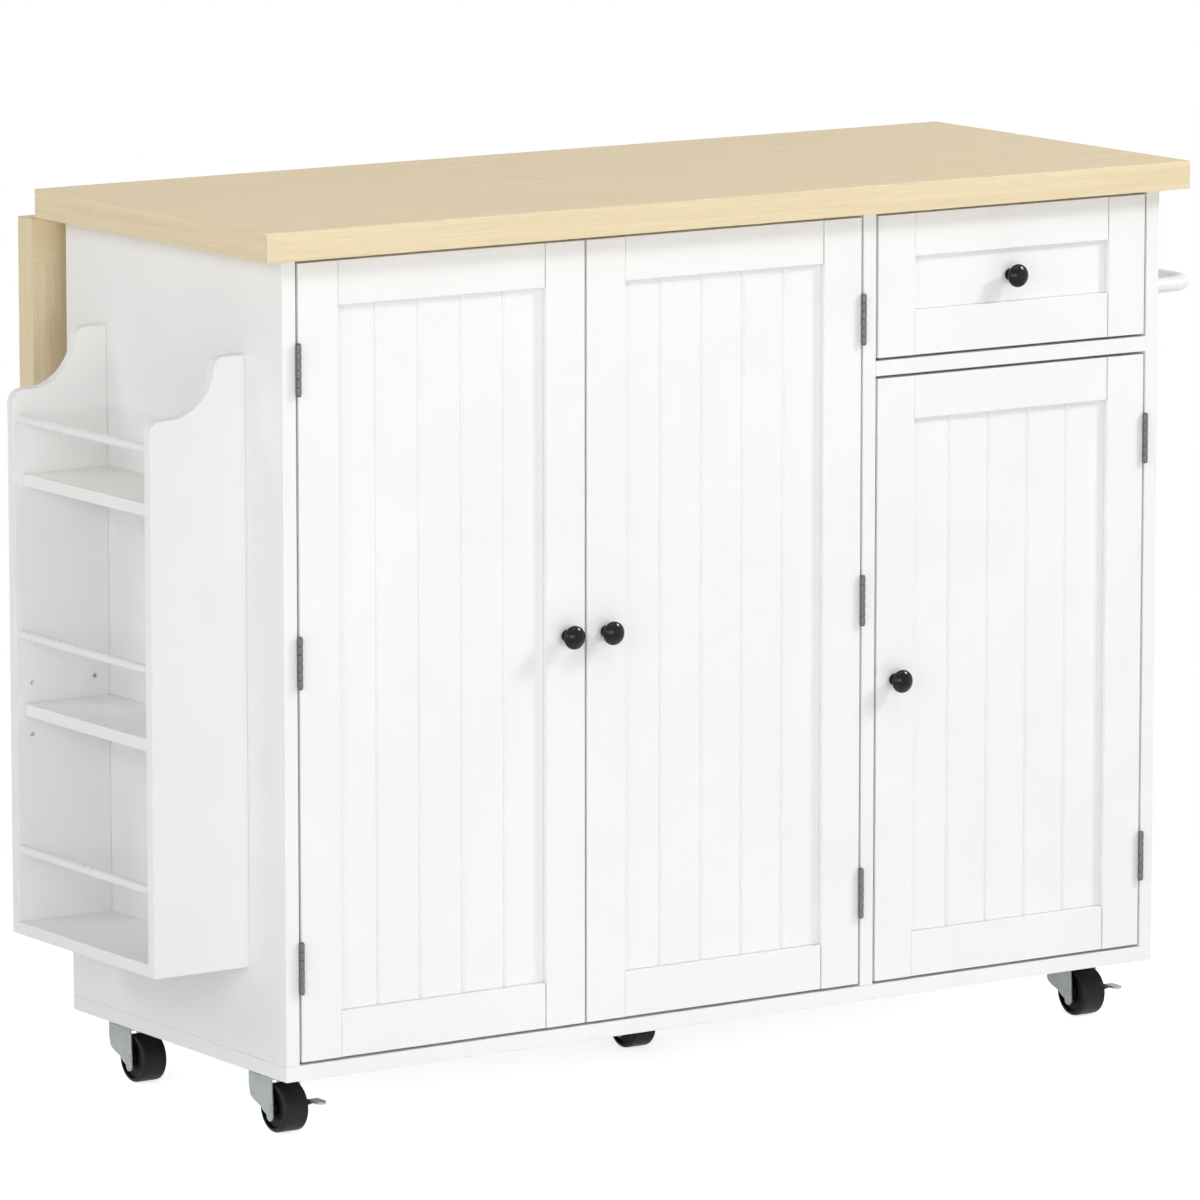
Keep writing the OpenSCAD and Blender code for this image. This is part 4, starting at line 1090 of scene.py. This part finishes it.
def hinge_screws():
    """Three flush screws in each leaf of a butt hinge, in zigzag"""
    zigzag = ((-18, -8), (0, -16), (18, -8))
    left_half = (box_of("side_panel_left")[1][0] + box_of("divider_panel")[0][0]) / 2
    points = []
    for box in solids_of("hinge_leaves_cabinet"):
        place = anchor(box, "mhm")
        side = 1 if place.x < left_half else -1
        points += spots(place, [(-0.15 * side, y, z) for z, y in zigzag], side * X)
    scatter("hinge_screws", "cabinet", points, flat_head())
    for door in DOORS:
        side = 1 if door == "left" else -1
        points = []
        for box in solids_of(f"door_{door}_hardware"):
            # the strike plate of the catch lies behind the door and has none
            if box[0].y < box_of(f"door_{door}_frame")[0][1]:
                points += spots(anchor(box, "mhm"), [(0.15 * side, y, z) for z, y in zigzag],
                                -side * X)
        scatter(f"door_{door}_hinge_screws", "door_" + door, points, flat_head())


def drawer_screws():
    """In both members of each runner, and through the box into the front"""
    for steps, node, body in (((30, 170, 310), "drawer_runners_cabinet", "cabinet"),
                              ((25, 165, 305), "drawer_runner_members", "drawer")):
        (l_low, l_high), (r_low, r_high) = solids_of(node)
        outward = body == "drawer"
        middle = (l_low.z + l_high.z) / 2
        left = (l_high.x - 1.2 * MM, -X) if outward else (l_low.x + 1.2 * MM, X)
        right = (r_low.x + 1.2 * MM, X) if outward else (r_high.x - 1.2 * MM, -X)
        points = [(Vector((x, l_low.y + step * MM, middle)), way)
                  for x, way in (left, right) for step in steps]
        scatter(node + "_screws", body, points, low_head())
    points = spots(anchor(box_of("drawer_box"), "mll"),
                   [(i * 105, 12, z) for i in ENDS for z in (30, 76)], Y)
    scatter("drawer_front_screws", "drawer", points, pan_head())


def board_screws():
    """The worktop is held through the rails, sides and divider through the base"""
    points = []
    for low, high in solids_of("top_rails"):
        centre = (low.y + high.y) / 2
        points += [(Vector((x, centre, low.z)), -Z)
                   for x in (low.x + 0.06, (low.x + high.x) / 2, high.x - 0.06)]
    scatter("worktop_screws", "cabinet", points, low_head())
    points = []
    for node in ("side_panel_left", "divider_panel", "side_panel_right"):
        place = anchor(box_of(node), "mll")
        place.z = box_of("base_panel")[0][2]
        points += spots(place, [(0, y, 0) for y in (30, 190, 315)], -Z)
    scatter("base_screws", "cabinet", points, flat_head())


def build_screws():
    fitting_screws()
    back_nails()
    side_screws()
    knob_screws()
    hinge_screws()
    drawer_screws()
    board_screws()


# ---- Stage ----


def lamp(name, place, aim, size, watts):
    data = bpy.data.lights.new(name, "AREA")
    data.shape, data.size, data.size_y = "RECTANGLE", *size
    data.energy = watts
    obj = new_object(name, data)
    obj.location = place
    obj.rotation_euler = (Vector(aim) - Vector(place)).to_track_quat("-Z", "Y").to_euler()
    obj.visible_camera = False


def seen_white(tree):
    """1 where the camera looks, directly, in a mirror or through glass, and 0 for light"""
    path = knot(tree, "ShaderNodeLightPath").outputs
    larger = {"operation": "MAXIMUM"}
    either = knot(tree, "ShaderNodeMath", larger, i0=path["Is Glossy Ray"],
                  i1=path["Is Transmission Ray"])
    return knot(tree, "ShaderNodeMath", larger, i0=path["Is Camera Ray"],
                i1=either.outputs[0]).outputs[0]


def floor_material():
    """White where the camera looks, but for the island's shadow, which fades with distance"""
    material = bpy.data.materials.new("studio_floor")
    material.use_nodes = True
    tree = material.node_tree
    tree.nodes.clear()

    def put(kind, look=None, **values):
        return knot(tree, "ShaderNode" + kind, look, **values).outputs

    matt = put("BsdfDiffuse", Color=tuple(colours().floor))[0]
    glow = put("Emission", Strength=1.0)[0]
    part_glow = put("Emission", Strength=0.74)[0]
    flat = put("VectorMath", {"operation": "MULTIPLY"}, i0=put("TexCoord")["Object"],
               i1=(1.0, 1.0, 0.0))[0]
    reach = put("VectorMath", {"operation": "LENGTH"}, i0=flat)["Value"]
    fade = put("MapRange", {"interpolation_type": "SMOOTHSTEP"}, Value=reach,
               From_Min=0.55, From_Max=1.3)[0]
    shadowed = put("AddShader", i0=matt, i1=part_glow)[0]
    shown = put("MixShader", i0=fade, i1=shadowed, i2=glow)[0]
    put("OutputMaterial", Surface=put("MixShader", i0=seen_white(tree), i1=matt, i2=shown)[0])
    return material


def studio_world():
    """A soft room, which is white where the camera looks"""
    world = bpy.data.worlds.new("studio")
    world.use_nodes = True
    tree = world.node_tree
    tree.nodes.clear()
    room = knot(tree, "ShaderNodeBackground", Color=(1.0, 0.995, 0.985, 1.0), Strength=0.25)
    white = knot(tree, "ShaderNodeBackground", Color=(1.0, 1.0, 1.0, 1.0), Strength=1.0)
    pick = knot(tree, "ShaderNodeMixShader", i0=seen_white(tree), i1=room.outputs[0],
                i2=white.outputs[0])
    knot(tree, "ShaderNodeOutputWorld", Surface=pick.outputs[0])
    return world


LAMPS = (  # name, place, aim, size, watts
    ("key_softbox", (3.84, -2.38, 3.41), (0.1, 0.0, 0.45), (1.1, 1.1), 121.0),
    ("front_softbox", (-0.9, -4.3, 0.85), (0.0, 0.0, 0.40), (2.4, 1.3), 34.0),
    ("side_softbox", (-3.9, -2.4, 1.5), (-0.3, 0.0, 0.5), (2.4, 2.0), 56.0),
    ("left_softbox", (-3.4, 1.6, 2.6), (-0.3, 0.0, 0.5), (1.4, 1.4), 27.0),
    ("top_softbox", (0.2, -1.7, 3.3), (0.0, -0.1, 0.6), (2.2, 1.8), 17.0),
    ("back_softbox", (0.6, 4.0, 0.48), (0.0, 0.2, 0.46), (2.6, 0.8), 34.0),
)


def build_stage():
    scene = bpy.context.scene
    mesh = bpy.data.meshes.new("studio_floor")
    mesh.from_pydata([(-30, -30, 0), (30, -30, 0), (30, 30, 0), (-30, 30, 0)], [], [(0, 1, 2, 3)])
    mesh.materials.append(floor_material())
    new_object("studio_floor", mesh)
    scene.world = studio_world()
    for each in LAMPS:
        lamp(*each)

    # the photo's camera: a long lens, turned and tipped down towards the island
    camera = bpy.data.cameras.new("photo_camera")
    camera.sensor_width, camera.sensor_fit, camera.lens = 36.0, "HORIZONTAL", 256.6
    camera.clip_start, camera.clip_end = 0.1, 100.0
    eye = new_object("photo_camera", camera)
    eye.location = (-4.9477, -7.4179, 1.9666)
    turn, down = math.radians(33.71), math.radians(9.46)
    look = Vector((math.sin(turn) * math.cos(down), math.cos(turn) * math.cos(down),
                   -math.sin(down)))
    eye.rotation_euler = look.to_track_quat("-Z", "Y").to_euler()
    scene.camera = eye
    scene.view_settings.view_transform = "Standard"


# ---- Operators, panel and registration ----


def operator(idname, label, text, build):
    """An operator class that builds one group of pieces"""

    def execute(self, context):
        build()
        return {"FINISHED"}

    return type("ISLAND_OT_" + idname, (bpy.types.Operator,), {
        "__doc__": text, "bl_idname": "island." + idname, "bl_label": label,
        "execute": execute})


OPERATORS = [
    operator("worktop", "Worktop", "Builds the worktop slab with its strips", build_worktop),
    operator("leaf", "Drop leaf", "Builds the hanging leaf", build_leaf),
    operator("cabinet", "Cabinet boards", "Finishes the cabinet's boards", build_cabinet),
    operator("doors", "Doors", "Builds frames and beaded panels of the doors", build_doors),
    operator("drawer", "Drawer", "Builds the drawer's front and box", build_drawer),
    operator("knobs", "Knobs", "Finishes the four knobs", build_knobs),
    operator("rack", "Spice rack", "Finishes the spice rack and shelf pins", build_rack),
    operator("towel_bar", "Towel bar", "Finishes the towel bar", build_towel_bar),
    operator("hinges", "Door hinges", "Finishes the butt hinges", build_hinges),
    operator("leaf_support", "Leaf hinges and prop", "Finishes what carries the leaf",
             build_leaf_support),
    operator("fittings", "Runners and catches", "Finishes runners and catches", build_fittings),
    operator("casters", "Casters", "Finishes plates, forks, wheels, pedals and races", build_casters),
    operator("screws", "Screws", "Puts the screw heads in", build_screws),
    operator("stage", "Stage", "Makes floor, light and camera", build_stage),
]


class ISLAND_PT_sidebar(bpy.types.Panel):
    """Sizes, colours and pieces of the island"""

    bl_label = "Kitchen island"
    bl_idname = "ISLAND_PT_sidebar"
    bl_space_type = "VIEW_3D"
    bl_region_type = "UI"
    bl_category = "Island"

    def draw(self, context):
        for group in (context.scene.island_sizes, context.scene.island_colours):
            for key in group.__annotations__:
                self.layout.prop(group, key)
        for each in OPERATORS:
            self.layout.operator(each.bl_idname)


CLASSES = (IslandSizes, IslandColours, *OPERATORS, ISLAND_PT_sidebar)


def register():
    for each in CLASSES:
        bpy.utils.register_class(each)
    bpy.types.Scene.island_sizes = bpy.props.PointerProperty(type=IslandSizes)
    bpy.types.Scene.island_colours = bpy.props.PointerProperty(type=IslandColours)


def unregister():
    del bpy.types.Scene.island_sizes
    del bpy.types.Scene.island_colours
    for each in reversed(CLASSES):
        bpy.utils.unregister_class(each)


def main():
    register()
    for each in OPERATORS:
        group, name = each.bl_idname.split(".")
        getattr(getattr(bpy.ops, group), name)()


if __name__ == "__main__":
    main()
